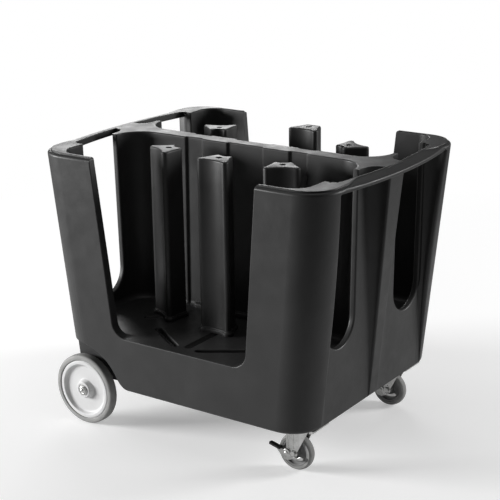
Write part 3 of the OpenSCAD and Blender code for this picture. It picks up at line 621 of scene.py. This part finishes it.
    def wheel_arch(self, wheel):
        s = self.s
        top, wheel_z = s.underside + self.arch_top, wheel.wheel_d / 2
        arch_r, back_r, end_r = wheel_z + self.arch_room, self.arch_back_r, self.arch_end_r
        foot_z = s.underside + back_r
        foot_x = math.sqrt((arch_r + back_r) ** 2 - (foot_z - wheel_z) ** 2) - wheel.axle_x
        turn = math.degrees(math.atan2(foot_z - wheel_z, foot_x + wheel.axle_x))
        outline = [(-self.out_x, s.underside - 2 * OVERRUN), (foot_x, s.underside - 2 * OVERRUN)]
        outline += reversed(arc(foot_x, foot_z, back_r, 180 + turn, 270, 10))
        outline += arc(-wheel.axle_x, wheel_z, arch_r, turn, 90, 20)[1:]
        outline += reversed(arc(end_r - self.end(top), top + end_r, end_r, 180, 270, 6))
        outline += [(-self.out_x, top + end_r)]
        return self.through_side([(x, self.arch_y, z) for x, z in reversed(outline)], outline)

    def deck_slot(self, start, stop):
        along = math.degrees(math.atan2(stop[1] - start[1], stop[0] - start[0]))
        r = self.s.deck_slot_w / 2
        outline = arc(*stop, r, along - 90, along + 90, 8) + arc(*start, r, along + 90, along + 270, 8)
        edge = self.deck_slot_edge_r
        rows = [(0, self.pocket_top - OVERRUN)] + [(e[0], self.deck - e[1]) for e in edge_round(edge, 3)]
        return stacked(outline, rows + [(edge, self.deck + OVERRUN)])

    def pocket(self, hx, high):
        low = self.pocket_in
        shape = rounded_rect(hx, (high - low) / 2, self.pocket_r, 6)
        outline = [(x, y + (low + high) / 2) for x, y in shape]
        return stacked(outline, [(0, self.s.underside - OVERRUN), (0, self.pocket_top)])

    def ledge(self):
        y = self.s.centre_t / 2 + self.inner_lean + self.ledge_w
        half = 2 * self.s.pilaster_x - self.s.pilaster_t - self.ledge_w
        top = self.deck + self.ledge_h
        rows = [(0, self.deck - OVERRUN / 2)] + [(e[0], top - e[1]) for e in edge_round(self.ledge_r, 3)]
        return loft([[(x, y, z) for x, y in rounded_rect(half - d, y - d, self.ledge_w, 6)] for d, z in rows])

    def handle_section(self, blend):
        """Radius and height round the bar: sloped in mid-span, stepped like the rim at the corners."""
        s = self.s
        bow, inner, soft = s.bow_r, s.bow_r - s.handle_w, s.handle_t / 5
        flat, fall, groove = inner + s.handle_flat, s.handle_fall, 0.0016
        step = bow - s.step_in
        mid = bend((bow, -fall - soft), (bow, -fall), (bow - soft, -fall + 0.001), 6)
        mid += [(flat + 0.014, -groove - 0.0022), (flat + 0.0028, -groove), (flat + 0.0008, -groove + 0.0004)]
        mid += [(flat, -0.0004), (flat - 0.0006, 0.0)]
        end = bend((bow, -s.step_h - s.rim_round), (bow, -s.step_h), (bow - s.rim_round, -s.step_h), 6)
        end += [(step + 0.001, -s.step_h), (step + 0.0006, -s.step_h), (step, -s.step_h + 0.0008)]
        end += [(step - 0.0004, -0.0012), (step - 0.002, 0.0)]
        top = [tuple(a + (b - a) * blend for a, b in zip(p, q)) for p, q in zip(mid, end)]
        below = arc(inner + soft, soft - s.handle_t, soft, 180, 270, 5)
        below += arc(bow - soft, soft - s.handle_t, soft, 270, 360, 5)
        return below + top + bend((inner + self.crown, 0), (inner, 0), (inner, -self.crown), 4)

    def handle(self):
        s = self.s
        half = math.asin((self.rim_y - s.corner_r + s.deck_slot_w + OVERRUN) / s.bow_r)
        count, rings, middle = 56, [], s.overall_len / 2 - s.bow_r
        sloped, change = 0.165, 0.085
        for i in range(count + 1):
            a = half * (2 * i / count - 1)
            t = min(1.0, max(0.0, (abs(s.bow_r * math.sin(a)) - sloped) / change))
            run = self.handle_section(t * t * (3 - 2 * t))
            rings.append([(r * math.cos(a) + middle, r * math.sin(a), s.overall_h + z) for r, z in run])
        return loft(rings)

    def screw_holes(self):
        rows = [(0, self.s.underside - OVERRUN), (0, self.s.underside + self.screw_depth)]
        return joined([stacked(circle(x, y, self.screw_r, 16), rows) for x, y in SCREW_PLACES])


# Plan places of one side's screws, the four of a caster and the two of an axle saddle
SCREW_PLACES = [(0.329 + i * 0.040, 0.246 + j * 0.030) for i in (-1, 1) for j in (-1, 1)]
SCREW_PLACES += [(i * 0.036 - 0.3475, 0.246) for i in (-1, 1)]

# Ends of the deck slots of one bay: in the middle, and the two on one side of it
MIDDLE_SLOT = ((0, 0.108), (0, 0.296))
OUTER_SLOTS = (((0.171, 0.1046), (0.232, 0.177)), ((0.040, 0.305), (0.150, 0.234)))

# Half length and outer side of the two pockets that make the room below one bay
POCKETS = ((0.264, 0.275), (0.112, 0.322))


def ends_and_sides(bm):
    return mirrored(mirrored(bm, "X"), "Y")


class CART_OT_moulding(bpy.types.Operator):
    """Builds the double bay moulding with its rim, recesses, slots, arches and handles"""
    bl_idname = "cart.moulding"
    bl_label = "Moulding"

    def execute(self, context):
        s = context.scene.cart_moulding
        m = Moulding(s)
        slots = [m.deck_slot(*MIDDLE_SLOT)]
        for k in (-1, 1):
            for start, stop in OUTER_SLOTS:
                slots.append(m.deck_slot((k * start[0], start[1]), (k * stop[0], stop[1])))
        pockets = [m.pocket(hx, high) for hx, high in POCKETS]
        arch = m.wheel_arch(context.scene.cart_rear)
        both_sides = [m.bay(), m.side_cut(), joined(slots), *pockets, arch, m.screw_holes()]
        cuts = [mirrored(cut, "Y") for cut in both_sides]
        cuts += [ends_and_sides(m.end_recess()), ends_and_sides(m.end_slot())]
        shell = combined(m.outer_block(), cuts, "DIFFERENCE")
        shell = combined(shell, [m.ledge(), mirrored(m.handle(), "X")], "UNION")
        finish = moulded_plastic("body_plastic", s.colour)
        obj = piece("cart_shell", shell, "cart", finish, ["body_moulding"])
        edge = obj.modifiers.new("edges", "BEVEL")
        edge.width = 0.0015
        edge.segments = 2
        edge.limit_method = "ANGLE"
        edge.angle_limit = math.radians(40)
        edge.miter_outer = "MITER_ARC"
        edge.use_clamp_overlap = True
        normals = obj.modifiers.new("normals", "WEIGHTED_NORMAL")
        normals.keep_sharp = True
        return {"FINISHED"}


# Dividers

def divider_outline(s, steps=6):
    """Half outline mirrored to the whole section, broad face towards -Y, bolt at the origin."""
    r, front_share, back_sag_share, reach_share = s.edge_r, 0.56, 0.7, 0.55
    front = (s.width / 2 - r, r - s.depth * front_share)
    back = (s.back_w / 2 - r, s.depth * (1 - front_share) - r)
    sag = s.plate_r - math.sqrt(s.plate_r ** 2 - front[0] ** 2)
    back_sag = sag * back_sag_share
    ux, uy = unit(back[0] - front[0], back[1] - front[1])
    out = math.degrees(math.atan2(-ux, uy))
    mid = ((front[0] + back[0]) / 2 + uy * (r - sag / 3), (front[1] + back[1]) / 2 - ux * (r - sag / 3))
    low, high = front[1] - r, back[1] + r
    half = bend((0, low + sag), (front[0] * reach_share, low + sag), (front[0], low), steps)[:-1]
    half += arc(*front, r, -90, out, steps)
    a, b = half[-1], (back[0] + r * uy, back[1] - r * ux)
    half += bend(a, mid, b, steps)[1:-1]
    half += arc(*back, r, out, 90, steps)
    reach = (back[0] * reach_share, high - back_sag)
    half += bend((back[0], high), reach, (0, high - back_sag), steps)[1:]
    return half + mirrored_x(half[1:-1])


def divider_post(s, deck, top):
    """A hollow-faced upright on a flanged foot, with a bolt hole in its top and a tongue below."""
    low, flange, cove = deck + 0.0003, 0.006, 0.004
    foot = low + 0.010
    rows = [(flange - e[0], low + e[1]) for e in reversed(edge_round(0.001, 2))]
    rows += [(flange - e[0], foot - e[1]) for e in edge_round(0.002, 3)]
    rows += [(0.003 - e[1] * 0.75, foot + cove - e[0]) for e in reversed(edge_round(cove, 4))]
    rows += [(-e[0], top - e[1]) for e in edge_round(s.top_round, 5)]
    tongue_r, tip, seat = 0.00945, low - 0.012, top - 0.014
    tongue = [(0, tip), (tongue_r - 0.00075, tip), (tongue_r, tip + 0.001), (tongue_r, low + 0.008)]
    hole_r, mouth_r = 0.008, 0.0095
    hole = [(0, seat), (hole_r, seat), (hole_r, top - 0.001), (mouth_r, top + 0.0006)]
    hole += [(mouth_r, top + OVERRUN), (0, top + OVERRUN)]
    bolt_r, start = 0.0043, low - 0.02
    bore = [(0, start), (bolt_r, start), (bolt_r, top), (0, top)]
    body = combined(stacked(divider_outline(s), rows), [turned(tongue + [(0, low + 0.008)], 32)], "UNION")
    return combined(body, [turned(hole, 40), turned(bore, 24)], "DIFFERENCE")


# Where each divider stands: its place in plan and its turn in degrees
DIVIDER_PLACES = {
    "near": {"left": (-0.184, -0.120, -29), "middle": (0, -0.143, 0), "right": (0.184, -0.120, 29)},
    "far": {"left": (-0.216, 0.158, -151), "middle": (0, 0.296, 0), "right": (0.216, 0.158, 151)},
}


class CART_OT_dividers(bpy.types.Operator):
    """Builds the six movable dividers with their clamp bolts and keepers"""
    bl_idname = "cart.dividers"
    bl_label = "Dividers"

    def execute(self, context):
        s, body = context.scene.cart_dividers, context.scene.cart_moulding
        finish = moulded_plastic("divider_plastic", s.colour, gloss=(0.34, 0.48))
        steel = plated_steel("clamp_steel", context.scene.cart_casters.metal_colour)
        deck, top = body.underside + body.deck_rise, body.overall_h - s.drop
        for row, places in DIVIDER_PLACES.items():
            for place, (x, y, turn) in places.items():
                where = Matrix.Translation((x, y, 0)) @ Matrix.Rotation(math.radians(turn), 4, "Z")
                post, key = placed(divider_post(s, deck, top), where), f"{row}_{place}"
                nodes = [f"divider_{key}"]
                piece(f"divider_post_{key}", post, f"{key}_divider", finish, nodes)
                for node in (f"clamp_bolt_{key}", f"keeper_{key}"):
                    dress(node, steel)
        return {"FINISHED"}


def dress(node, material):
    """Gives a CAD node a procedural material."""
    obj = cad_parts[node]
    obj.data.materials.clear()
    obj.data.materials.append(material)


# Rear wheels

# How far a hub reaches out and in from the wheel's middle plane, and the gap beside it
HUB_OUT, HUB_IN, HUB_GAP = 0.017, 0.014, 0.0003


def on_axle(s, side):
    """Turns a shape made about Z to lie along the axle, outwards on the named side."""
    out = Matrix.Rotation(math.radians(90 if side == "near" else -90), 4, "X")
    return Matrix.Translation((-s.axle_x, 0, s.wheel_d / 2)) @ out


def rear_rim_section(s):
    """Disc with a raised ring at its edge, a sloped wall inside the ring and a conical boss."""
    ring = s.wheel_d / 2 - s.tyre_t
    seat, bore = s.tyre_w / 2 - 0.003, s.axle_d / 2 + 0.0025
    lip, web, back = seat + 0.002, 0.0035, -0.004
    out = [(bore, -HUB_IN), (0.019, -HUB_IN), (0.022, 0.003 - HUB_IN)]
    out += bend((0.0265, 2 * back), (0.028, back), (0.034, back), 4)
    out += bend((ring - 0.022, back), (ring - 0.014, back), (ring - 0.010, 0.001 - seat), 5)
    out += [(ring - 0.009, -seat), (ring - 0.0005, -seat), (ring, 0.0005 - seat)]
    out += [(ring, seat - 0.0005), (ring - 0.0005, seat)]
    out += bend((ring - 0.0018, seat), (ring - 0.0026, lip), (ring - 0.0045, lip), 4)
    out += bend((ring - 0.0100, lip), (ring - 0.0118, lip), (ring - 0.0126, lip - 0.0018), 5)
    out += bend((ring - 0.0150, web + 0.0030), (ring - 0.0172, web), (ring - 0.0225, web), 6)
    out += bend((0.0310, web), (0.0282, web), (0.0272, web + 0.0025), 4)
    out += bend((0.0226, HUB_OUT - 0.0018), (0.0221, HUB_OUT), (0.0204, HUB_OUT), 4)
    out += [(0.0172, HUB_OUT), (0.0166, HUB_OUT - 0.0010), (0.0150, HUB_OUT - 0.0010)]
    return out + [(bore + 0.0004, HUB_OUT - 0.0004), (bore, HUB_OUT - 0.0008)]


def rear_tyre_section(s):
    r, half = s.wheel_d / 2, s.tyre_w / 2
    seat = r - s.tyre_t
    run = [(seat + 0.0002, half - 0.003)]
    run += bend((seat + 0.0006, half - 0.0008), (seat + 0.001, half), (seat + 0.0025, half), 3)
    run += bend((r - 0.006, half), (r - 0.0015, half - 0.0012), (r - 0.0004, half - 0.0045), 5)
    return both_faces(run + [(r, half - 0.008)])


def axle_cap_section(foot):
    """A pressed cap: a flat brim, a raised ring and a domed middle."""
    brim, ring = 0.0017, 0.0058
    run = [(0, 0), (0.0142, 0), (0.0146, 0.0004), (0.0146, 0.0013), (0.0142, brim)]
    run += [(0.0124, brim), (0.0118, 0.0011), (0.0112, 0.0013)]
    run += bend((0.0108, 0.0042), (0.0106, ring), (0.0092, ring), 4)
    run += bend((0.0082, ring), (0.0074, 0.0056), (0.0070, 0.0040), 4)
    run += bend((0.0060, 0.0040), (0.0056, 0.0086), (0, 0.0088), 6)
    return [(r, foot + z) for r, z in run]


class CART_OT_rear_wheels(bpy.types.Operator):
    """Builds the two large wheels and finishes their axle"""
    bl_idname = "cart.rear_wheels"
    bl_label = "Rear wheels"

    def execute(self, context):
        s = context.scene.cart_rear
        disc = moulded_plastic("rim_plastic", s.rim_colour, gloss=(0.38, 0.50), grain=1100.0, spread=0.03)
        bush = moulded_plastic("bush_plastic", (0.55, 0.55, 0.53), gloss=(0.40, 0.52), spread=0.04)
        tyre = rubber("grey_rubber", s.tyre_colour)
        steel = plated_steel("axle_steel", context.scene.cart_casters.metal_colour, stretch=(1, 0.15, 1))
        for side in SIDES:
            where, body = on_axle(s, side), f"rear_wheel_{side}"
            out = where @ Matrix.Translation((0, 0, s.wheel_y))
            rim = placed(turned(rear_rim_section(s), 128), out)
            piece(f"wheel_disc_{side}", rim, body, disc, [f"rear_rim_{side}"])
            band = placed(turned(rear_tyre_section(s), 128), out)
            piece(f"wheel_tyre_{side}", band, body, tyre, [f"rear_tyre_{side}"])
            cap = placed(turned(axle_cap_section(s.wheel_y + HUB_OUT + HUB_GAP), 48), where)
            piece(f"axle_push_cap_{side}", cap, "cart", steel, [f"axle_cap_{side}"])
            dress(f"rear_bush_{side}", bush)
            dress(f"axle_saddle_{side}", steel)
        for node in ("rear_axle", "axle_washers", "saddle_screws"):
            dress(node, steel)
        return {"FINISHED"}


# Casters

# The lever's inner face and thickness, its pivot in X and Z, and its pedal's place and tilt
CHEEK, LEVER_T = 0.0183, 0.0025
PIVOT_X, PIVOT_Z = -0.043, 0.046
PEDAL_X, PEDAL_Z, PEDAL_TILT = -0.060, 0.057, 13
PEDAL_HALF = 0.0175

# The fork's top, the outer face of its legs and the reach of what cuts them
FORK_TOP, FORK_OUT, FORK_REACH = 0.1262, 0.018, 0.03

# Marks on a fork's leg: half sizes in X and Z, corner radius and steps, place, lower and upper face
BEAD = (0.0018, 0.029, 0.0017, 4, -0.0427, 0.089, -0.001, 0.0011, 0.0008)
PANEL = (0.0060, 0.0155, 0.0055, 6, -0.0320, 0.0745, -0.0009, 0.01)
GROOVE = (0.0024, 0.0280, 0.0022, 4, -0.0205, 0.0905, -0.0009, 0.01)


def on_caster(s, side):
    """From a caster's swivel axis, at the floor, to its place under the moulding."""
    return Matrix.Translation((s.swivel_x, SIDES[side] * s.swivel_y, 0))


def laid(bm):
    """Turns a plan outline raised along Z into one in X and Z, raised towards -Y."""
    return placed(bm, Matrix.Rotation(math.radians(90), 4, "X"))


def drilled(x, z, r, steps, low=0.0):
    """A round tool across the caster, from low outwards."""
    return laid(raised(circle(x, z, r, steps), low, FORK_REACH))


def leg_outline(s):
    """A leg in X and Z: upright behind, hollowed in front and round at the axle."""
    out = arc(-0.036, 0.046, 0.009, 180, 250, 6)
    out += arc(-s.trail, s.wheel_d / 2, 0.012, 250, 385, 14)
    out += bend((0.0125 - s.trail, 0.0575), (0.0115, 0.099), (0.023, FORK_TOP), 10)
    return out + [(-0.045, FORK_TOP)]


def pressing(hx, hz, r, steps, x, z, low, high, edge=0.0):
    """A rounded mark on a leg's outer face, from its half sizes, corners, place and reach."""
    shape = [(px + x, pz + z) for px, pz in rounded_rect(hx, hz, r, steps)]
    return laid(raised(shape, FORK_OUT + low, FORK_OUT + high, edge))


def caster_fork(s):
    """A pressed fork: two legs bent from a crown, with pressed ribs and a race for the balls."""
    inner, under, crown_r, crown_edge = 0.015, 0.1222, 0.027, 0.0008
    arch = [(FORK_OUT, 0.02)] + arc(FORK_OUT - 0.005, FORK_TOP - 0.005, 0.005, 0, 90, 6)
    hollow = [(inner, 0.0)] + arc(inner - 0.002, under - 0.002, 0.002, 0, 90, 4)
    bar = loft([[(x, y, z) for y, z in arch + mirrored_x(arch)] for x in (-0.050, 0.030)])
    room = loft([[(x, y, z) for y, z in hollow + mirrored_x(hollow)] for x in (-0.060, 0.040)])
    legs = laid(raised(leg_outline(s), -FORK_REACH, FORK_REACH))
    body = combined(combined(bar, [legs], "INTERSECT"), [room], "DIFFERENCE")
    crown = [(crown_r - crown_edge, under), (crown_r, under + crown_edge)]
    crown += [(crown_r, FORK_TOP - crown_edge), (crown_r - crown_edge, FORK_TOP)]
    added = [turned([(0, under)] + crown + [(0, FORK_TOP)], 64)]
    pressed = []
    for way in (1, -1):
        turn = Matrix.Diagonal((1, way, 1, 1))
        added.append(placed(pressing(*BEAD), turn))
        pressed.append(placed(pressing(*PANEL), turn))
        pressed.append(placed(pressing(*GROOVE), turn))
    body = combined(body, added, "UNION")
    pin_r, low, high = 0.00605, 0.11, 0.14
    pin = turned([(0, low), (pin_r, low), (pin_r, high), (0, high)], 40)
    track = turned(circle(0.021, 0.1265, 0.0033, 16), 64)
    bore = drilled(-s.trail, s.wheel_d / 2, 0.0041, 32, -FORK_REACH)
    return combined(body, pressed + [pin, track, bore], "DIFFERENCE")


def lever_outline():
    """The lever's cheek: the arm to the pedal behind, the arm below the axle in front."""
    out = [(-0.076, 0.060), (-0.076, 0.056)]
    out += bend((-0.063, 0.041), (-0.053, 0.028), (-0.039, 0.028), 8)
    out += bend((-0.023, 0.0341), (0.000, 0.032), (0.0075, 0.0395), 8)
    out += bend((0.0085, 0.0430), (0.004, 0.0478), (-0.001, 0.0450), 6)
    out += bend((-0.008, 0.0415), (-0.020, 0.0395), (-0.033, 0.0495), 6)
    return out + [(-0.050, 0.0545)]


def brake_lever(s, pedal):
    """A pressed lever with a raised boss, clear of the axle's head, and a tilted tab."""
    face = CHEEK + LEVER_T
    cheek = laid(raised(lever_outline(), CHEEK, face, 0.0008))
    boss = laid(raised(circle(PIVOT_X, PIVOT_Z, 0.0122, 48), CHEEK, face + 0.0010, 0.0009))
    tab = placed(raised(rounded_rect(PEDAL_HALF, 0.0062, 0.004, 6), -LEVER_T, 0.0002, 0.0008), pedal)
    holes = [drilled(PIVOT_X, PIVOT_Z, 0.0041, 32), drilled(-s.trail, s.wheel_d / 2, 0.0095, 48)]
    return combined(combined(cheek, [boss, tab], "UNION"), holes, "DIFFERENCE")


def pedal_pad(pedal):
    """The pedal's moulded cover with grip ribs across it."""
    pad = raised(rounded_rect(0.0182, 0.0071, 0.0045, 6), -0.0030, 0.0030, 0.0013)
    ribs = []
    for i in range(6):
        rib = raised(rounded_rect(0.0010, 0.0056, 0.0009, 3), 0.0015, 0.0038, 0.0006)
        ribs.append(placed(rib, Matrix.Translation((0.0054 * (i - 2.5), 0, 0))))
    return placed(combined(pad, ribs, "UNION"), pedal)


def rivet_section():
    """The pivot's shank with its domed head, along the lever's own axis."""
    low, high = CHEEK - 0.0003, CHEEK + LEVER_T + 0.0012
    run = [(0, low), (0.004, low), (0.004, high), (0.0068, high), (0.0070, high + 0.0003)]
    return run + bend((0.0070, high + 0.0008), (0.0064, high + 0.0026), (0, high + 0.0028), 6)


def caster_core_section(s):
    seat = s.wheel_d / 2 - s.tyre_t
    run = [(0.00405, 0.0136), (0.0045, 0.0140), (0.0130, 0.0140)]
    run += bend((0.0142, 0.0140), (0.0148, 0.0138), (0.0151, 0.0120), 3)
    run += bend((0.0160, 0.0055), (0.0163, 0.0030), (0.0190, 0.0030), 4)
    run += bend((seat - 0.0100, 0.0030), (seat - 0.0060, 0.0032), (seat - 0.0048, 0.0080), 5)
    run += bend((seat - 0.0044, 0.0102), (seat - 0.0040, 0.0106), (seat - 0.0030, 0.0106), 3)
    return both_faces(run + [(seat - 0.0004, 0.0102), (seat, 0.0098)])


def caster_tyre_section(s):
    r, half = s.wheel_d / 2, s.tyre_w / 2
    seat = r - s.tyre_t
    foot, face, bead = seat + 0.0002, half - 0.0002, half + 0.0007
    run = [(foot, half - 0.0024)]
    run += bend((foot, half - 0.0008), (seat + 0.0006, face), (seat + 0.0018, face), 3)
    run += [(seat + 0.0048, face)]
    run += bend((seat + 0.0052, bead - 0.0002), (seat + 0.0058, bead), (seat + 0.0064, bead - 0.0005), 4)
    run += bend((seat + 0.0068, half - 0.0008), (r - 0.0010, half - 0.0022), (r - 0.0004, half - 0.0070), 7)
    return both_faces(run + [(r, half - 0.0105)])


class CART_OT_casters(bpy.types.Operator):
    """Builds the two braked swivel casters"""
    bl_idname = "cart.casters"
    bl_label = "Casters"

    def execute(self, context):
        s = context.scene.cart_casters
        steel = plated_steel("zinc", s.metal_colour)
        finishes = {
            "zinc": steel,
            "bright_zinc": plated_steel("bright_zinc", s.metal_colour, gloss=(0.16, 0.30)),
            "caster_rubber": rubber("caster_rubber", s.tyre_colour),
            "core_plastic": moulded_plastic("core_plastic", s.core_colour, spread=0.06),
            "pad_plastic": moulded_plastic("pad_plastic", (0.012, 0.012, 0.012), gloss=(0.30, 0.42)),
        }
        across = Matrix.Rotation(math.radians(90), 4, "X")
        axle = Matrix.Translation((-s.trail, 0, s.wheel_d / 2)) @ across
        pivot = Matrix.Translation((PIVOT_X, 0, PIVOT_Z)) @ across
        pedal = Matrix.Translation((PEDAL_X, -CHEEK - LEVER_T / 2, PEDAL_Z))
        pedal = pedal @ Matrix.Rotation(math.radians(PEDAL_TILT), 4, "Y")
        pedal = pedal @ Matrix.Translation((-PEDAL_HALF, 0, 0))
        for side in SIDES:
            where = on_caster(s, side)
            disc, band = turned(caster_core_section(s), 96), turned(caster_tyre_section(s), 96)
            rows = (
                ("fork_pressing", caster_fork(s), "caster", "bright_zinc", "caster_fork"),
                ("pivot_rivet", placed(turned(rivet_section(), 40), pivot), "caster", "zinc", "brake_pivot"),
                ("lever_cheek", brake_lever(s, pedal), "brake", "bright_zinc", "brake_lever"),
                ("pedal_cover", pedal_pad(pedal), "brake", "pad_plastic", "brake_pad"),
                ("caster_disc", placed(disc, axle), "caster_wheel", "core_plastic", "caster_core"),
                ("caster_band", placed(band, axle), "caster_wheel", "caster_rubber", "caster_tyre"),
            )
            for name, bm, body, slot, node in rows:
                bm, finish = placed(bm, where), finishes[slot]
                piece(f"{name}_{side}", bm, f"{body}_{side}", finish, [f"{node}_{side}"])
            for name in ("plate", "bolts", "kingpin", "balls", "axle", "nut"):
                dress(f"caster_{name}_{side}", steel)
        return {"FINISHED"}


# Stage

def aimed(place, target, roll=0.0):
    """A matrix at the place whose -Z looks at the target."""
    look = (Vector(target) - Vector(place)).to_track_quat("-Z", "Y").to_matrix().to_4x4()
    return Matrix.Translation(place) @ look @ Matrix.Rotation(roll, 4, "Z")


def lamp(name, place, width, height, power):
    data = bpy.data.lights.new(name, "AREA")
    data.shape = "RECTANGLE"
    data.size, data.size_y, data.energy = width, height, power
    linked(name, data).matrix_world = aimed(place, LAMP_TARGET)


def seen_ray(tree):
    """One for rays that come straight from the camera."""
    return tree.nodes.new("ShaderNodeLightPath").outputs["Is Camera Ray"]


def mirror_ray(tree):
    """One for rays off gloss or through glass that don't come from the camera."""
    path = tree.nodes.new("ShaderNodeLightPath")
    node = tree.nodes.new("ShaderNodeMath")
    node.operation = "MAXIMUM"
    tree.links.new(path.outputs["Is Glossy Ray"], node.inputs[0])
    tree.links.new(path.outputs["Is Transmission Ray"], node.inputs[1])
    return node.outputs[0]


def blended(tree, factor, low, high):
    """A value between two others; low and high are numbers or sockets."""
    node = tree.nodes.new("ShaderNodeMix")
    for socket, value in ((node.inputs[2], low), (node.inputs[3], high)):
        if isinstance(value, (int, float)):
            socket.default_value = value
        else:
            tree.links.new(value, socket)
    tree.links.new(factor, node.inputs[0])
    return node.outputs[0]


def white_world(level, mirrored_level):
    world = bpy.data.worlds.new("studio")
    bpy.context.scene.world = world
    world.use_nodes = True
    tree = world.node_tree
    sky = tree.nodes["Background"]
    sky.inputs["Color"].default_value = (1, 1, 1, 1)
    unseen = blended(tree, mirror_ray(tree), level, mirrored_level)
    tree.links.new(blended(tree, seen_ray(tree), unseen, 1.0), sky.inputs["Strength"])


def pale_floor(s):
    bm = bmesh.new()
    bmesh.ops.create_circle(bm, cap_ends=True, radius=s.floor_r, segments=64)
    floor = object_from("floor", bm)
    material, tree, shader, source = nodes_of("floor")
    reach = tree.nodes.new("ShaderNodeVectorMath")
    reach.operation = "LENGTH"
    tree.links.new(source.outputs["Object"], reach.inputs[0])
    far = ranged(tree, reach.outputs["Value"], 0.0, 1.0, 1.2, 2.6)
    tree.links.new(shaded(tree, far, s.floor_colour, (0, 0, 0)), shader.inputs["Base Color"])
    shader.inputs["Roughness"].default_value = 0.9
    shader.inputs["Specular IOR Level"].default_value = 0.0
    shader.inputs["Emission Color"].default_value = (1, 1, 1, 1)
    glow = blended(tree, seen_ray(tree), s.bounce, blended(tree, far, s.floor_glow, 1.0))
    tree.links.new(glow, shader.inputs["Emission Strength"])
    floor.data.materials.append(material)


class CART_OT_stage(bpy.types.Operator):
    """Sets the floor, the soft lamps and the camera"""
    bl_idname = "cart.stage"
    bl_label = "Stage"

    def execute(self, context):
        s = context.scene.cart_stage
        data = bpy.data.cameras.new("camera")
        data.lens = s.lens
        data.sensor_width = 36.0
        data.shift_x = (PHOTO_SIZE / 2 - PHOTO_MIDDLE[0]) / PHOTO_SIZE
        data.shift_y = (PHOTO_MIDDLE[1] - PHOTO_SIZE / 2) / PHOTO_SIZE
        data.clip_end = 200.0
        camera = linked("camera", data)
        camera.matrix_world = aimed(s.camera_place, s.target, s.roll)
        context.scene.camera = camera
        for name, values in LAMPS.items():
            lamp(name, *values)
        white_world(s.sky, s.mirrored_sky)
        pale_floor(s)
        context.scene.view_settings.view_transform = "Standard"
        return {"FINISHED"}


# Panel and registration

STEPS = (CART_OT_stage, CART_OT_moulding, CART_OT_dividers, CART_OT_rear_wheels, CART_OT_casters)


class CART_PT_panel(bpy.types.Panel):
    """Lists the steps that build the cart's looks"""
    bl_label = "Plate cart"
    bl_space_type = "VIEW_3D"
    bl_region_type = "UI"
    bl_category = "Plate cart"

    def draw(self, context):
        for step in STEPS:
            self.layout.operator(step.bl_idname)


GROUPS = {
    "cart_moulding": MouldingSettings,
    "cart_dividers": DividerSettings,
    "cart_rear": RearWheelSettings,
    "cart_casters": CasterSettings,
    "cart_stage": StageSettings,
}
CLASSES = (*GROUPS.values(), *STEPS, CART_PT_panel)


def register():
    for cls in CLASSES:
        bpy.utils.register_class(cls)
    for name, group in GROUPS.items():
        setattr(bpy.types.Scene, name, bpy.props.PointerProperty(type=group))


def unregister():
    for name in GROUPS:
        delattr(bpy.types.Scene, name)
    for cls in reversed(CLASSES):
        bpy.utils.unregister_class(cls)


def main():
    register()
    bpy.ops.cart.stage()
    bpy.ops.cart.moulding()
    bpy.ops.cart.dividers()
    bpy.ops.cart.rear_wheels()
    bpy.ops.cart.casters()


if __name__ == "__main__":
    main()
